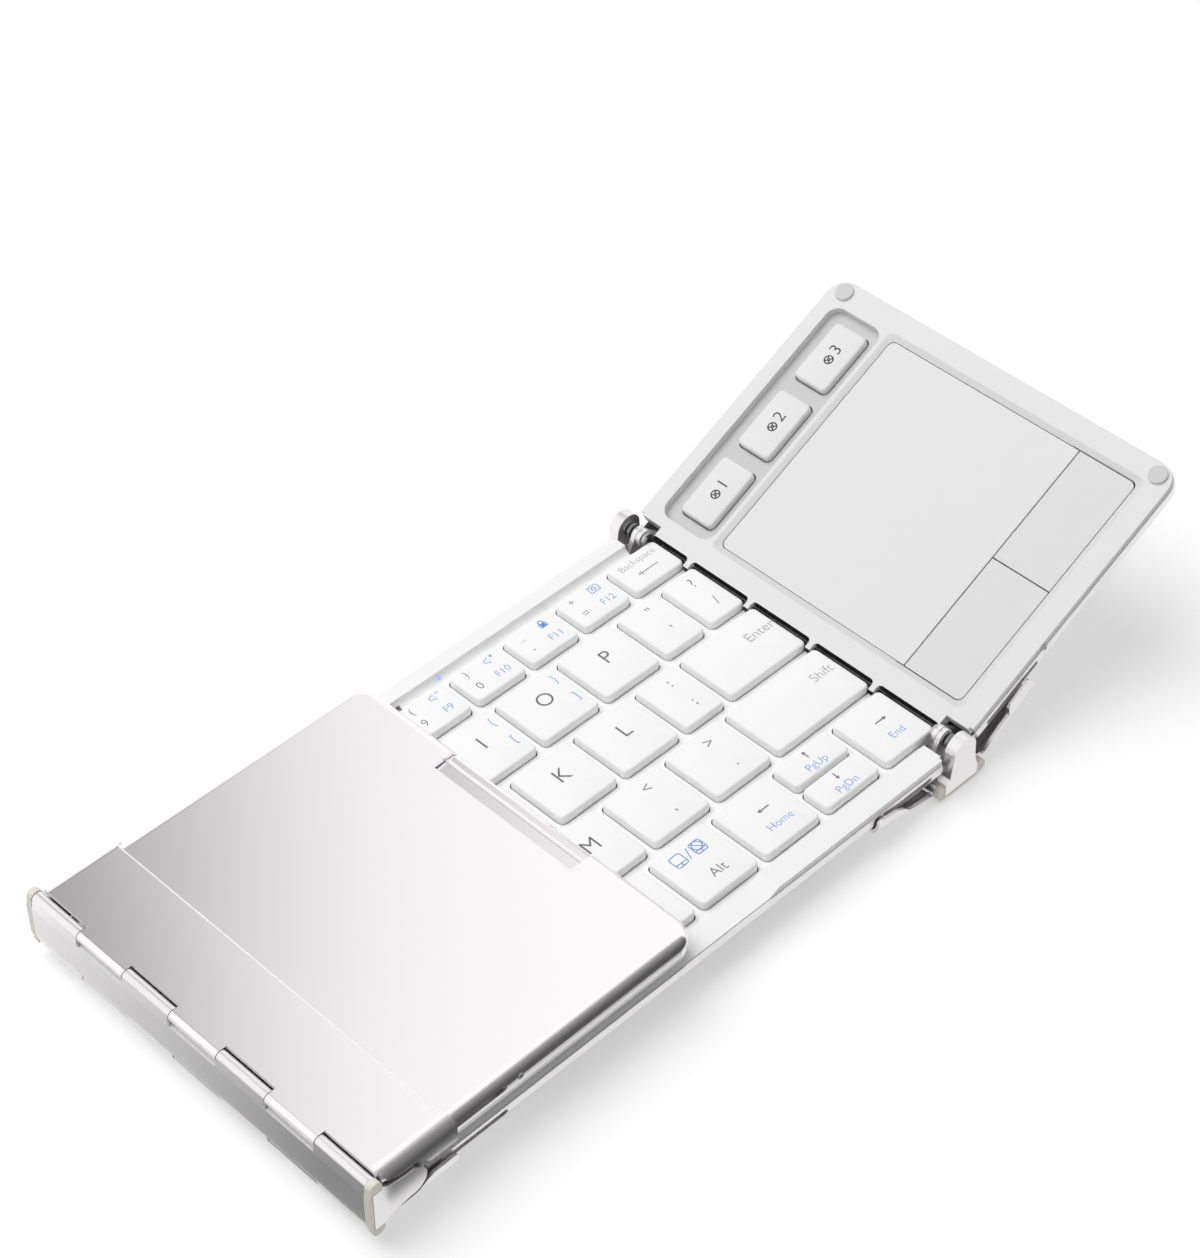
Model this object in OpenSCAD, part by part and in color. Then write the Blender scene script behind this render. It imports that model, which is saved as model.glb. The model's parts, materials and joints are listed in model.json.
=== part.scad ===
// Folding pocket keyboard in three panels: a centre panel of keys, a left wing of keys that lies
// folded on it, and a right wing with a touchpad that is part way up. Each wing hangs on a spine.
// Origin: middle of the resting plane under the centre panel. +X is the typist's right, +Y the back.

/* [Panels] */
// Distance between the two fold pivots
pivot_span = 150; // [140:1:170]
// Depth of the three metal trays, front to back
tray_d = 94.4; // [90:0.5:110]
// Length of the left wing, from its pivot to its free edge
left_wing_l = 74.6; // [70:0.2:75]
// Length of the right wing, from its pivot to its free edge
right_wing_l = 74; // [70:0.2:74]
// Metal floor thickness of a tray
tray_floor = 0.8; // [0.6:0.1:1]
// Metal side wall thickness of a tray
tray_wall = 0.9; // [0.6:0.1:1]
// Radius along the lower edges of a tray
tray_edge_r = 2.4; // [1.2:0.2:2.8]
// Radius of the free corners of a wing, seen from above
corner_r = 5; // [3:0.5:8]
// How far the right wing stands up from level
right_wing_up = 26; // [0:1:80]

/* [Keys] */
// Width of a letter key
key_w = 15.6; // [14.6:0.1:16.2]
// Depth of a letter key
key_d = 15.4; // [14.4:0.1:16]
// Space between one letter key and the next
key_space = 2.1; // [1.6:0.1:2.4]
// Space between one row of letter keys and the next
row_space = 2.2; // [1.8:0.1:2.4]
// Width of a key in the rear row of figures
figure_key_w = 13.3; // [12.3:0.1:13.8]
// Depth of a key in the rear row of figures
figure_key_d = 9.8; // [8:0.1:10.4]
// Corner radius of a key
key_r = 1.2; // [0.5:0.1:2]
// How far a key travels
key_travel = 1.2; // [0.6:0.1:1.2]
// Gap between a key and the well that it moves in
key_gap = 0.3; // [0.2:0.05:0.4]
// Front edge of the front row, measured from the middle of the panel
front_row_y = -40; // [-41:0.1:-39]
// How far the right-hand keys reach past the right pivot line
key_overhang = 1.05; // [0:0.05:1.2]

/* [Touchpad] */
// Length of the touchpad, away from the pivot
pad_l = 58.8; // [50:0.2:60]
// Depth of the touchpad
pad_d = 51.8; // [45:0.2:52]
// Depth of the two click buttons in front of it
click_d = 15; // [10:0.2:16]
// How far a click button travels
click_travel = 0.4; // [0.2:0.1:0.5]
// Length of a key that picks the paired device
device_key_l = 15.5; // [12:0.1:17]
// Depth of a key that picks the paired device
device_key_d = 9; // [7:0.1:10]
// Radius of a rubber bumper
bumper_r = 2.15; // [1.5:0.05:2.4]

/* [Hinges] */
// Height of the pivot over the outer face of a spine
spine_reach = 10.2; // [10:0.1:10.6]
// Sideways distance from the pivot to a knuckle
knuckle_x = 5.8; // [5.6:0.1:6]
// Drop from the pivot to a knuckle
knuckle_drop = 8.4; // [8.2:0.1:8.6]
// Outer radius of a knuckle
knuckle_r = 1.3; // [1.2:0.05:1.4]
// Radius of the rod through the knuckles
rod_r = 0.55; // [0.4:0.05:0.7]
// Radius of the pivot pin in an ear
pivot_r = 0.8; // [0.6:0.05:1]
// Thickness of an ear
ear_t = 2.6; // [2:0.1:2.8]
// How far an ear stands out past the trays
ear_out = 1.65; // [1.5:0.05:2.2]
// Length of a sleeve, from its knuckle to its far edge
sleeve_l = 18.8; // [17:0.2:20]
// Sheet thickness of a sleeve
sleeve_t = 0.9; // [0.7:0.05:1]
// Tilt of a sleeve when its panel is open
sleeve_tilt = 8.8; // [8.6:0.1:9]
// Knuckles along a spine, its own and the sleeve's together
knuckle_count = 7; // [5:2:9]

/* [Hidden] */
$fn = 64;
eps = 0.05;
clear = 0.1;                       // face gap between pieces that are assembled
running = 0.05;                    // radial gap of a rod or pin that turns

key_pitch = key_w + key_space;
row_pitch = key_d + row_space;
figure_pitch = figure_key_w + 2;

// Levels, measured from the pivot line
sleeve_gap = 0.3;                  // from a tray's floor to the sleeve that slides under it
board_t = 0.4;
tray_bottom = -(knuckle_x + knuckle_r - sleeve_t - sleeve_gap);
floor_top = tray_bottom + tray_floor;
wall_top = -1.9;
end_wall_top = floor_top + 1;
plate_bottom = floor_top + board_t + key_travel + 2 * eps;
key_floor = -2.2;
key_top = -0.3;
key_bottom = -2.7;
frame_top = -0.5;
low_rim = -1.7;

pivot_x = pivot_span / 2;
pivot_z = spine_reach;
half_d = tray_d / 2;
inner_d = half_d - tray_wall;
deck_d = inner_d - clear;
rim_d = half_d - 0.3;
tray_gap = 0.8;                    // pivot line to the end of a tray
wing_gap = 1.9;                    // pivot line to the touchpad frame
end_wall = 0.8;

// Hinge stations along Y, from the ends inwards
ear_face = half_d + ear_out;
ear_back = ear_face - ear_t;
washer_space = 2.6;
lug_t = 1.1;
lug_gap = 0.1;
base_lug = ear_back - washer_space;            // outer face of the centre panel's lug
wing_lug = base_lug - lug_t - lug_gap;         // outer face of a wing's lug
pin_end = wing_lug - lug_t - lug_gap;
pin_head_t = 0.7;
pocket_in = pin_end - pin_head_t - 0.2;
pocket_out = ear_back - 0.25;
pocket_l = 4.2;
pocket_floor = key_bottom - key_travel - clear;
lug_r = 2;
relief_l = 4.8;
cap_in = half_d + 0.05;
rod_half = half_d;

sleeve_in = half_d + 0.4;          // inner face of a sleeve's side wall
sleeve_out = ear_face - 0.55;
slot_z = -3.4;
slot_h = 1.3;
slot_from = 8;
slot_to = sleeve_l + knuckle_x;
guide_back = 1.4;                  // guide nub, back from the sleeve's far edge
guide_r = 0.5;
guide_h = knuckle_x + slot_z;      // height of the guide nub over the knuckle line, folded
sleeve_edge_r = tray_edge_r - 0.2; // inside the bend of a sleeve
side_reach = 1;                    // a sleeve's side walls reach past its plate

figure_row_y = front_row_y + 4 * row_pitch + 0.1;
right_end = pivot_x + key_overhang;
left_end = -pivot_x + 1.9;

function row_y(row) = row == 4 ? figure_row_y : front_row_y + row * row_pitch;
function row_d(row) = row == 4 ? figure_key_d : key_d;

// Wider and narrower keys at the ends of the rows
backspace_w = 14.1;
slash_w = 9.85;
quote_w = 11.2;
enter_w = 22.45;
semicolon_w = 11.1;
right_shift_w = 27.25;
end_w = 14.35;
space_w = 34.1;

// Left edge of the first visible key of each row, laid out from the right end
figure_x = right_end - backspace_w - 3 * figure_pitch;
letter_x = right_end - slash_w - key_space - quote_w - 2 * key_pitch;
home_x = right_end - enter_w - key_space - semicolon_w - 2 * key_pitch;
lower_x = right_end - right_shift_w - 2 * key_pitch;
alt_x = right_end - end_w - 3 * key_pitch;
space_x = alt_x - key_space - space_w;

// Visible keys of the centre panel: name, row from the front, left edge, width
CENTRE_KEYS = [
    ["key_0", 4, figure_x, figure_key_w],
    ["key_minus", 4, figure_x + figure_pitch, figure_key_w],
    ["key_equals", 4, figure_x + 2 * figure_pitch, figure_key_w],
    ["key_backspace", 4, right_end - backspace_w, backspace_w],
    ["key_o", 3, letter_x, key_w],
    ["key_p", 3, letter_x + key_pitch, key_w],
    ["key_quote", 3, letter_x + 2 * key_pitch, quote_w],
    ["key_slash", 3, right_end - slash_w, slash_w],
    ["key_k", 2, home_x, key_w],
    ["key_l", 2, home_x + key_pitch, key_w],
    ["key_semicolon", 2, home_x + 2 * key_pitch, semicolon_w],
    ["key_enter", 2, right_end - enter_w, enter_w],
    ["key_comma", 1, lower_x, key_w],
    ["key_period", 1, lower_x + key_pitch, key_w],
    ["key_shift", 1, right_end - right_shift_w, right_shift_w],
    ["key_alt", 0, alt_x, key_w],
    ["key_arrow_left", 0, alt_x + key_pitch, key_w],
    ["key_arrow_up", 5, alt_x + 2 * key_pitch, key_w],
    ["key_arrow_down", 6, alt_x + 2 * key_pitch, key_w],
    ["key_arrow_right", 0, right_end - end_w, end_w],
];

// How many keys of this pitch fit between a row's first visible key and the left end
function fit_count(start, pitch, spare) = floor((start - left_end) / pitch - spare);

// The key that fills a row up to the left end
function end_key(row, start) = [row, left_end,
    start - fit_count(start, key_pitch, 0.5) * key_pitch - left_end - key_space];

// Keys under the folded left wing: row, left edge, width
REAR_KEYS = concat(
    [for (i = [1:1:fit_count(figure_x, figure_pitch, 0)]) [4, figure_x - i * figure_pitch, figure_key_w]],
    [for (i = [1:1:fit_count(letter_x, key_pitch, 0)]) [3, letter_x - i * key_pitch, key_w]]);
MIDDLE_KEYS = concat(
    [for (i = [1:1:fit_count(home_x, key_pitch, 0.5)]) [2, home_x - i * key_pitch, key_w]],
    [end_key(2, home_x)],
    [for (i = [1:1:fit_count(lower_x, key_pitch, 0.5)]) [1, lower_x - i * key_pitch, key_w]],
    [end_key(1, lower_x)]);
SPACE_BARS = [[0, space_x, space_w], [0, left_end, space_x - key_space - left_end]];

// Left wing keys, measured from its pivot: row, near edge, width
left_near = 2.6;
left_far = left_wing_l - 6.9;
near_key_w = 15.4;
d_key_w = 11.3;
thumb_key_w = 13.4;
home_near = left_near + d_key_w + key_space;
lower_near = left_near + near_key_w + key_space;
thumb_pitch = thumb_key_w + key_space;

function wing_count(start) = floor((left_far - start) / key_pitch - 0.5);
function wing_end_key(row, start, count) =
    [row, start + count * key_pitch, left_far - start - count * key_pitch];

LEFT_REAR = concat(
    [for (i = [0:floor((left_far - left_near - figure_key_w) / figure_pitch)])
        [4, left_near + i * figure_pitch, figure_key_w]],
    [for (i = [0:1:wing_count(left_near) - 1]) [3, left_near + i * key_pitch, key_w]],
    [wing_end_key(3, left_near, wing_count(left_near))]);
LEFT_MIDDLE = concat(
    [[2, left_near, d_key_w]],
    [for (i = [0:1:wing_count(home_near) - 1]) [2, home_near + i * key_pitch, key_w]],
    [wing_end_key(2, home_near, wing_count(home_near))],
    [[1, left_near, near_key_w], [1, lower_near, key_w], wing_end_key(1, lower_near, 1)]);
LEFT_FRONT = concat(
    [[0, left_near, near_key_w]],
    [for (i = [0, 1]) [0, lower_near + i * thumb_pitch, thumb_key_w]],
    [[0, lower_near + 2 * thumb_pitch, left_far - lower_near - 2 * thumb_pitch]]);

half_key_d = (key_d - 1) / 2;

pad_from = 8.2;
pad_y = -half_d + 6.8 + click_d;
pad_top = -1.1;
pad_gap = 0.15;
click_gap = 0.28;                  // round the click buttons
pad_bottom = -2.5;
device_y = half_d - 11.6 - device_key_d / 2;
device_x = [for (i = [0:2]) pad_from + 1.7 + i * (device_key_l + 4)];
device_top = -0.8;
recess_floor = -2.3;
bumper_x = right_wing_l - 3.2;
bumper_y = half_d - 4;
bumper_top = 0.1;

// Finger scoop in the free edge of the left wing
scoop_l = 6.7;
scoop_half = 19.4;
scoop_skin = floor_top + 0.6;

foot_y = half_d - 11.2;
foot_w = 6;
foot_l = pivot_span - 60;

port_w = 8.9;
port_h = 3.1;
port_l = 6;
port_wall = 0.35;

// Rims of the key deck
rear_rim_y = figure_row_y + figure_key_d + 2.9;
rear_fillet_r = 1.7;
front_rim_y = front_row_y - 1.6;
step_x = alt_x + 10.7;             // where the front rim steps up
step_l = 3.1;
deck_reach = 0.3;                  // strips between the rows reach past the right pivot line
tooth_in = -0.3;                   // the touchpad frame's teeth reach back to here
tooth_gap = 0.45;                  // from a tooth to the keys beside it
lens_x = figure_x - 0.4;
lens_r = 0.5;

// Spine and ears
seg = 2 * rod_half / knuckle_count;
knuckle_gap = 0.08;
face_half = 3.6;                   // flat part of the spine's outer face
inner_face = knuckle_drop - 0.3;
cap_r = knuckle_r + 0.15;
ear_r = 3.3;
washer_count = 4;

body_color = "silver";
deck_color = "white";

KEY_NODES = [for (k = CENTRE_KEYS) k[0]];

// ---------- shared shapes ----------

// A shape drawn in X and Z, carried along Y
module along_y(from, to) {
    translate([0, to, 0]) rotate([90, 0, 0]) linear_extrude(to - from) children();
}

// A shape drawn in Y and Z, carried along X
module along_x(from, to) {
    translate([from, 0, 0]) rotate([90, 0, 90]) linear_extrude(to - from) children();
}

module mirrored_y() {
    children();
    mirror([0, 1, 0]) children();
}

// Box given by its lowest and highest corners
module block(low, high) {
    translate(low) cube(high - low);
}

// Rounded rectangle from one corner to the other
module round_rect(low, high, r) {
    translate([low[0] + r, low[1]]) square([high[0] - low[0] - 2 * r, high[1] - low[1]]);
    translate([low[0], low[1] + r]) square([high[0] - low[0], high[1] - low[1] - 2 * r]);
    for (x = [low[0] + r, high[0] - r], y = [low[1] + r, high[1] - r]) translate([x, y]) circle(r);
}

// Rectangle with two rounded corners, on its low side
module tub(low, high, r) {
    intersection() {
        translate(low) square(high - low);
        union() {
            translate([low[0] + r, low[1] - 1]) square([high[0] - low[0] - 2 * r, high[1] - low[1] + 2]);
            translate([low[0] - 1, low[1] + r]) square([high[0] - low[0] + 2, high[1] - low[1]]);
            for (x = [low[0] + r, high[0] - r]) translate([x, low[1] + r]) circle(r);
        }
    }
}

// Rounded slab
module slab(low, high, r) {
    translate([0, 0, low[2]]) linear_extrude(high[2] - low[2])
        round_rect([low[0], low[1]], [high[0], high[1]], r);
}

// ---------- where each panel, spine and sleeve stands ----------

module at_centre() {
    translate([0, 0, pivot_z]) children();
}

module at_left_wing() {
    translate([-pivot_x, 0, pivot_z]) mirror([0, 0, 1]) children();
}

module at_right_wing() {
    translate([pivot_x, 0, pivot_z]) rotate([0, -right_wing_up, 0]) children();
}

module at_left_spine() {
    translate([-pivot_x, 0, pivot_z]) rotate([0, 90, 0]) mirror([1, 0, 0]) children();
}

module at_right_spine() {
    translate([pivot_x, 0, pivot_z]) children();
}

// A sleeve's angle to its spine, for a panel that is open by this many degrees
function sleeve_angle(open) = 90 - open * (90 - sleeve_tilt) / 90;

// side is 1 for the wing's knuckle and -1 for the centre panel's
module at_knuckle(side, open) {
    mirror([side < 0 ? 1 : 0, 0, 0]) translate([knuckle_x, 0, -knuckle_drop])
        rotate([0, -sleeve_angle(open), 0]) children();
}

// ---------- trays ----------

// Outside or inside of a wing tray, with round lower edges and corners; cut is how far in it lies
module wing_form(length, cut) {
    low = tray_bottom + (cut > 0 ? tray_floor : 0);
    high = cut > 0 ? 1 : wall_top;
    near = tray_gap + (cut > 0 ? end_wall : 0);
    bend = tray_edge_r - cut;
    turn = corner_r - cut;
    along_x(near, length - corner_r) tub([-half_d + cut, low], [half_d - cut, high], bend);
    along_y(-half_d + corner_r, half_d - corner_r)
        tub([length - 3 * corner_r, low], [length - cut, high], bend);
    mirrored_y() translate([length - corner_r, half_d - corner_r, 0]) rotate_extrude() intersection() {
        translate([0, low]) square([turn, high - low]);
        tub([-turn, low], [turn, high], bend);
    }
}

// Corner by the pivot: room for the ear, the pin and both lugs, and a solid seat for the lug
module hinge_corner_cut() {
    mirrored_y() {
        block([-1, pocket_out, tray_bottom - 1], [relief_l, half_d + 1, 3]);
        block([-1, pocket_in, pocket_floor], [pocket_l, pocket_out + 1, 3]);
    }
}

module hinge_corner_seat() {
    mirrored_y() block([tray_gap, pocket_in - 0.8, tray_bottom + 1], [relief_l + 0.8, inner_d, pocket_floor]);
}

// Plate that stands up to the pivot, with the bore for the pin
module lug(outer) {
    mirrored_y() difference() {
        along_y(outer - lug_t, outer) {
            circle(lug_r);
            polygon([[-lug_r * 0.8, -lug_r * 0.6], [tray_gap, pocket_floor - 0.5],
                [pocket_l, pocket_floor - 0.5], [lug_r * 0.8, lug_r * 0.6]]);
        }
        along_y(outer - lug_t - 1, outer + 1) circle(pivot_r + running);
    }
}

module guide_slots(from, to) {
    mirrored_y() along_y(inner_d - 1, half_d + 1)
        round_rect([from, slot_z - slot_h / 2], [to, slot_z + slot_h / 2], slot_h / 2 - 0.01);
}

module hinge_end_wall_cut() {
    block([-1, -pocket_in - eps, end_wall_top], [tray_gap + end_wall + eps, pocket_in + eps, 3]);
}

module wing_tray(length) {
    difference() {
        union() {
            difference() {
                wing_form(length, 0);
                wing_form(length, tray_wall);
            }
            intersection() {
                hinge_corner_seat();
                wing_form(length, 0);
            }
        }
        hinge_corner_cut();
        hinge_end_wall_cut();
        guide_slots(slot_from, slot_to);
    }
    lug(wing_lug);
}

module left_tray() {
    color(body_color) at_left_wing() difference() {
        wing_tray(left_wing_l);
        block([left_wing_l - scoop_l, -scoop_half, tray_bottom - 1], [left_wing_l + 1, scoop_half, 1]);
    }
}

module right_tray() {
    color(body_color) at_right_wing() wing_tray(right_wing_l);
}

// The centre tray has a hinge at both ends; its near end is drawn once and mirrored
module both_ends() {
    for (side = [0, 1]) mirror([side, 0, 0]) translate([pivot_x, 0, 0]) mirror([1, 0, 0]) children();
}

module base_tray() {
    end_x = pivot_x - tray_gap;
    color(body_color) at_centre() {
        difference() {
            union() {
                difference() {
                    along_x(-end_x, end_x) tub([-half_d, tray_bottom], [half_d, wall_top], tray_edge_r);
                    along_x(-end_x + end_wall, end_x - end_wall)
                        tub([-inner_d, floor_top], [inner_d, 1], tray_edge_r - tray_wall);
                }
                both_ends() intersection() {
                    hinge_corner_seat();
                    along_x(0, 20) tub([-half_d, tray_bottom], [half_d, wall_top], tray_edge_r);
                }
            }
            both_ends() {
                hinge_corner_cut();
                hinge_end_wall_cut();
                guide_slots(slot_from, slot_to);
            }
            along_y(inner_d - 1, half_d + 1) port_outline(clear);
        }
        both_ends() lug(base_lug);
    }
}

// ---------- decks, boards and keys ----------

function key_row_y(row) = row == 5 ? front_row_y + key_d - half_key_d : row == 6 ? front_row_y : row_y(row);
function key_row_d(row) = row >= 5 ? half_key_d : row_d(row);

// One cap: a body in the well, a slightly smaller top, and the stem that works the switch below
module key_cap(row, x, w) {
    y = key_row_y(row);
    d = key_row_d(row);
    step = 0.35;
    shoulder = key_top - 0.6;
    slab([x, y, key_bottom], [x + w, y + d, shoulder], key_r);
    slab([x + step, y + step, shoulder], [x + w - step, y + d - step, key_top], key_r);
    translate([x + w / 2, y + d / 2, plate_bottom]) cylinder(h = key_bottom - plate_bottom, r = 1.5);
}

module key_well(row, x, w) {
    y = key_row_y(row);
    d = key_row_d(row);
    slab([x - key_gap, y - key_gap, plate_bottom - key_travel - 0.3], [x + w + key_gap, y + d + key_gap, 3],
        key_r + key_gap);
}

module wells(keys) {
    for (k = keys) key_well(k[0], k[1], k[2]);
}

module caps(keys) {
    for (k = keys) key_cap(k[0], k[1], k[2]);
}

function strip_names(keys) = [for (k = keys) [k[1], k[2], k[3]]];

// Skirt that stands on the tray floor, just inside the tray's walls
module skirt(low, high) {
    difference() {
        slab([low[0], low[1], floor_top], [high[0], high[1], plate_bottom], corner_r - 2);
        slab([low[0] + 0.8, low[1] + 0.8, floor_top - 1],
            [high[0] - 0.8, high[1] - 0.8, plate_bottom + 1], corner_r - 2.8);
    }
}

// Front rim in X and Z: level with the tray on the left, and up to the frame's level on the right
module front_rim_outline(from, to) {
    bottom = wall_top + clear - 0.5;
    step = [for (t = [0:0.1:1])
        [step_x + step_l * t, low_rim + (frame_top - low_rim) * t * t * (3 - 2 * t)]];
    polygon(concat([[from, bottom], [from, low_rim]], step, [[to, frame_top], [to, bottom]]));
}

// Rear rim in Y and Z, with a hollow slope down to the keys
module rear_rim_outline(to) {
    slope = [for (a = [0:10:90]) [rear_rim_y - rear_fillet_r + rear_fillet_r * cos(a),
        key_floor + rear_fillet_r - rear_fillet_r * sin(a)]];
    polygon(concat([[to, plate_bottom], [to, frame_top]], slope,
        [[rear_rim_y - rear_fillet_r, plate_bottom]]));
}

module key_deck() {
    end_x = pivot_x - tray_gap;
    in_x = end_x - end_wall - clear;
    color(deck_color) at_centre() difference() {
        union() {
            block([-end_x, -deck_d + 1.4, plate_bottom], [end_x, deck_d - 1.4, key_floor]);
            block([-end_x, -deck_d, wall_top + clear - 0.8], [end_x, deck_d, key_floor]);
            intersection() {
                skirt([-in_x, -deck_d + 1.4], [in_x, deck_d - 1.4]);
                block([-in_x, -deck_d, floor_top], [in_x, deck_d, 0]);
            }
            along_x(-end_x, end_x) rear_rim_outline(deck_d);
            block([-end_x, rear_rim_y, wall_top + clear], [end_x, rim_d, frame_top]);
            along_y(-rim_d, front_rim_y) front_rim_outline(-end_x, end_x);
            block([end_x - 1, -deck_d + 1.4, key_floor - 0.8],
                [pivot_x + deck_reach, deck_d - 1.4, key_floor]);
        }
        mirrored_y() block([-end_x - 1, inner_d - clear, -10], [end_x + 1, half_d + 1, wall_top + clear]);
        wells(strip_names(CENTRE_KEYS));
        wells(concat(REAR_KEYS, MIDDLE_KEYS, SPACE_BARS));
        both_ends() hinge_corner_cut();
        both_ends() mirrored_y()
            block([tray_gap - 1, pocket_in - 0.9, -10], [relief_l + 0.9, half_d + 1, plate_bottom]);
        block([-port_w / 2 - clear, inner_d - port_l - 1, -10],
            [port_w / 2 + clear, inner_d + 2, floor_top + port_h + 2 * clear]);
        lens_shape(-0.3, eps);
    }
}

// The lens sits square to the slope of the rear rim; out is how far it stands above the slope
module lens_shape(out, gap) {
    translate([lens_x, rear_rim_y - rear_fillet_r, key_floor + rear_fillet_r]) rotate([-135, 0, 0])
        translate([0, 0, rear_fillet_r + out]) cylinder(h = 1.2 - 2 * out, r = lens_r + gap);
}

module indicator_lens() {
    color("dodgerblue") at_centre() lens_shape(-0.05, 0);
}

module base_board() {
    end_x = pivot_x - relief_l - 3;
    color("seagreen") at_centre() block([-end_x, -deck_d + 2.4, floor_top + eps],
        [end_x, inner_d - port_l - 1.2, floor_top + eps + board_t]);
}

module base_feet() {
    color("dimgray") at_centre() for (y = [-foot_y, 0, foot_y])
        slab([-foot_l / 2, y - foot_w / 2, -pivot_z], [foot_l / 2, y + foot_w / 2, tray_bottom],
            foot_w / 2 - 0.01);
}

// Mouth of the charging socket, drawn in X and Z
module port_outline(gap) {
    round_rect([-port_w / 2 - gap, floor_top + clear - gap],
        [port_w / 2 + gap, floor_top + clear + port_h + gap], port_h / 2 - 0.05);
}

module charge_port() {
    color("gray") at_centre() difference() {
        along_y(half_d - 0.3 - port_l, half_d - 0.3) port_outline(0);
        along_y(half_d - port_l + port_wall, half_d) port_outline(-port_wall);
    }
    color("black") at_centre() along_y(half_d - port_l, half_d - 1.5)
        translate([0, floor_top + clear + port_h / 2]) square([port_w - 3, 0.7], center = true);
}

module centre_key(k) {
    color(deck_color) at_centre() key_cap(k[1], k[2], k[3]);
}

module centre_keys_rear() {
    color(deck_color) at_centre() caps(REAR_KEYS);
}

module centre_keys_middle() {
    color(deck_color) at_centre() caps(MIDDLE_KEYS);
}

module space_bars() {
    color(deck_color) at_centre() caps(SPACE_BARS);
}

// ---------- left wing ----------

// Floor of the finger scoop in X and Z: it rises a little towards the rounded free edge
module scoop_floor() {
    near = left_wing_l - scoop_l + clear;
    far = left_wing_l - 0.3;
    polygon([[near, wall_top + 0.3], [near, tray_bottom + 1.3], [far - 1.1, tray_bottom + 0.9],
        [far - 0.3, tray_bottom + 1.3], [far, tray_bottom + 2.1], [far, wall_top + 0.3]]);
}

module left_deck() {
    near = tray_gap + 0.4;
    far = left_wing_l - 0.3;
    in_near = tray_gap + end_wall + clear;
    in_far = left_wing_l - tray_wall - clear;
    color(deck_color) at_left_wing() difference() {
        union() {
            difference() {
                union() {
                    slab([near - 9, -rim_d, wall_top + clear], [far, rim_d, frame_top], corner_r - 0.3);
                    slab([near - 9, -deck_d, wall_top + clear - 0.8], [in_far, deck_d, wall_top + 0.3],
                        corner_r - 1);
                }
                slab([near - 8, front_row_y - 1, plate_bottom], [left_wing_l - 4.5, rear_rim_y - 0.8, 3], 2);
            }
            slab([near - 9, -deck_d + 1.4, plate_bottom], [in_far, deck_d - 1.4, key_floor], corner_r - 1.4);
            skirt([in_near, -deck_d + 1.4], [in_far - 1.6, deck_d - 1.4]);
            block([left_wing_l - scoop_l - 0.8, -scoop_half - 0.8, scoop_skin],
                [in_far - 0.5, scoop_half + 0.8, key_floor]);
            along_y(-scoop_half + clear, scoop_half - clear) scoop_floor();
        }
        block([-20, -half_d, -10], [near, half_d, 3]);
        wells(concat(LEFT_REAR, LEFT_MIDDLE, LEFT_FRONT));
        hinge_corner_cut();
        mirrored_y() block([-1, pocket_in - 0.9, -10], [relief_l + 0.9, half_d + 1, plate_bottom]);
    }
}

module left_board() {
    color("seagreen") at_left_wing() block([relief_l + 3, -deck_d + 2.4, floor_top + eps],
        [left_wing_l - scoop_l - 3, deck_d - 2.4, floor_top + eps + board_t]);
}

module left_keys_rear() {
    color(deck_color) at_left_wing() caps(LEFT_REAR);
}

module left_keys_middle() {
    color(deck_color) at_left_wing() caps(LEFT_MIDDLE);
}

module left_keys_front() {
    color(deck_color) at_left_wing() caps(LEFT_FRONT);
}

// ---------- right wing ----------

module pad_space(gap) {
    slab([pad_from - gap, pad_y - click_d - gap, -10], [pad_from + pad_l + gap, pad_y + pad_d + gap, 3], 1.5);
}

module click_space(gap) {
    slab([pad_from - gap, pad_y - click_d - gap, -10], [pad_from + pad_l + gap, pad_y + 3, 3], 1.5);
}

// Room for the ends of the keys that reach past the pivot line
module key_end_pockets() {
    for (row = [0:4]) slab([-9, row_y(row) - tooth_gap, -10],
        [wing_gap, row_y(row) + row_d(row) + tooth_gap, 3], 1);
}

module right_deck() {
    far = right_wing_l - 0.3;
    in_far = right_wing_l - tray_wall - clear;
    color(deck_color) at_right_wing() difference() {
        union() {
            slab([-9, -rim_d, wall_top + clear], [far, rim_d, frame_top], corner_r - 0.3);
            slab([-9, -deck_d, pad_bottom - 0.6], [in_far, deck_d, wall_top + 0.3], corner_r - 1);
            skirt([wing_gap + 0.2, -deck_d + 1.4], [in_far - 1.6, deck_d - 1.4]);
            slab([wing_gap, -deck_d + 1.4, plate_bottom], [in_far - 1, deck_d - 1.4, pad_bottom], 1.6);
        }
        block([-20, -half_d, -10], [wing_gap, half_d, wall_top + clear]);
        block([-20, -half_d, -10], [tooth_in, half_d, 3]);
        key_end_pockets();
        slab([device_x[0] - 3.2, device_y - 2.4, recess_floor],
            [device_x[2] + device_key_l + 3, device_y + device_key_d + 3.2, 3], 3);
        for (x = device_x) slab([x - key_gap, device_y - key_gap, -10],
            [x + device_key_l + key_gap, device_y + device_key_d + key_gap, 0], key_r + key_gap);
        pad_space(pad_gap);
        click_space(click_gap);
        for (y = [-bumper_y, bumper_y])
            translate([bumper_x, y, frame_top - 0.5]) cylinder(h = 3, r = bumper_r);
        hinge_corner_cut();
        mirrored_y() block([-1, pocket_in - 0.9, -10], [relief_l + 0.9, half_d + 1, plate_bottom]);
    }
}

module touchpad() {
    color("gainsboro") at_right_wing()
        intersection() {
            pad_space(0);
            block([0, pad_y + pad_gap / 2, pad_bottom], [right_wing_l, half_d, pad_top]);
        }
}

// One of the two keys in front of the touchpad, between these two places
module click_button(from, to) {
    color("gainsboro") at_right_wing()
        intersection() {
            pad_space(0);
            block([from, -half_d, pad_bottom + click_travel + eps],
                [to, pad_y - click_gap + pad_gap / 2, pad_top]);
        }
}

module click_button_left() {
    click_button(0, pad_from + pad_l / 2 - click_gap / 2);
}

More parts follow.
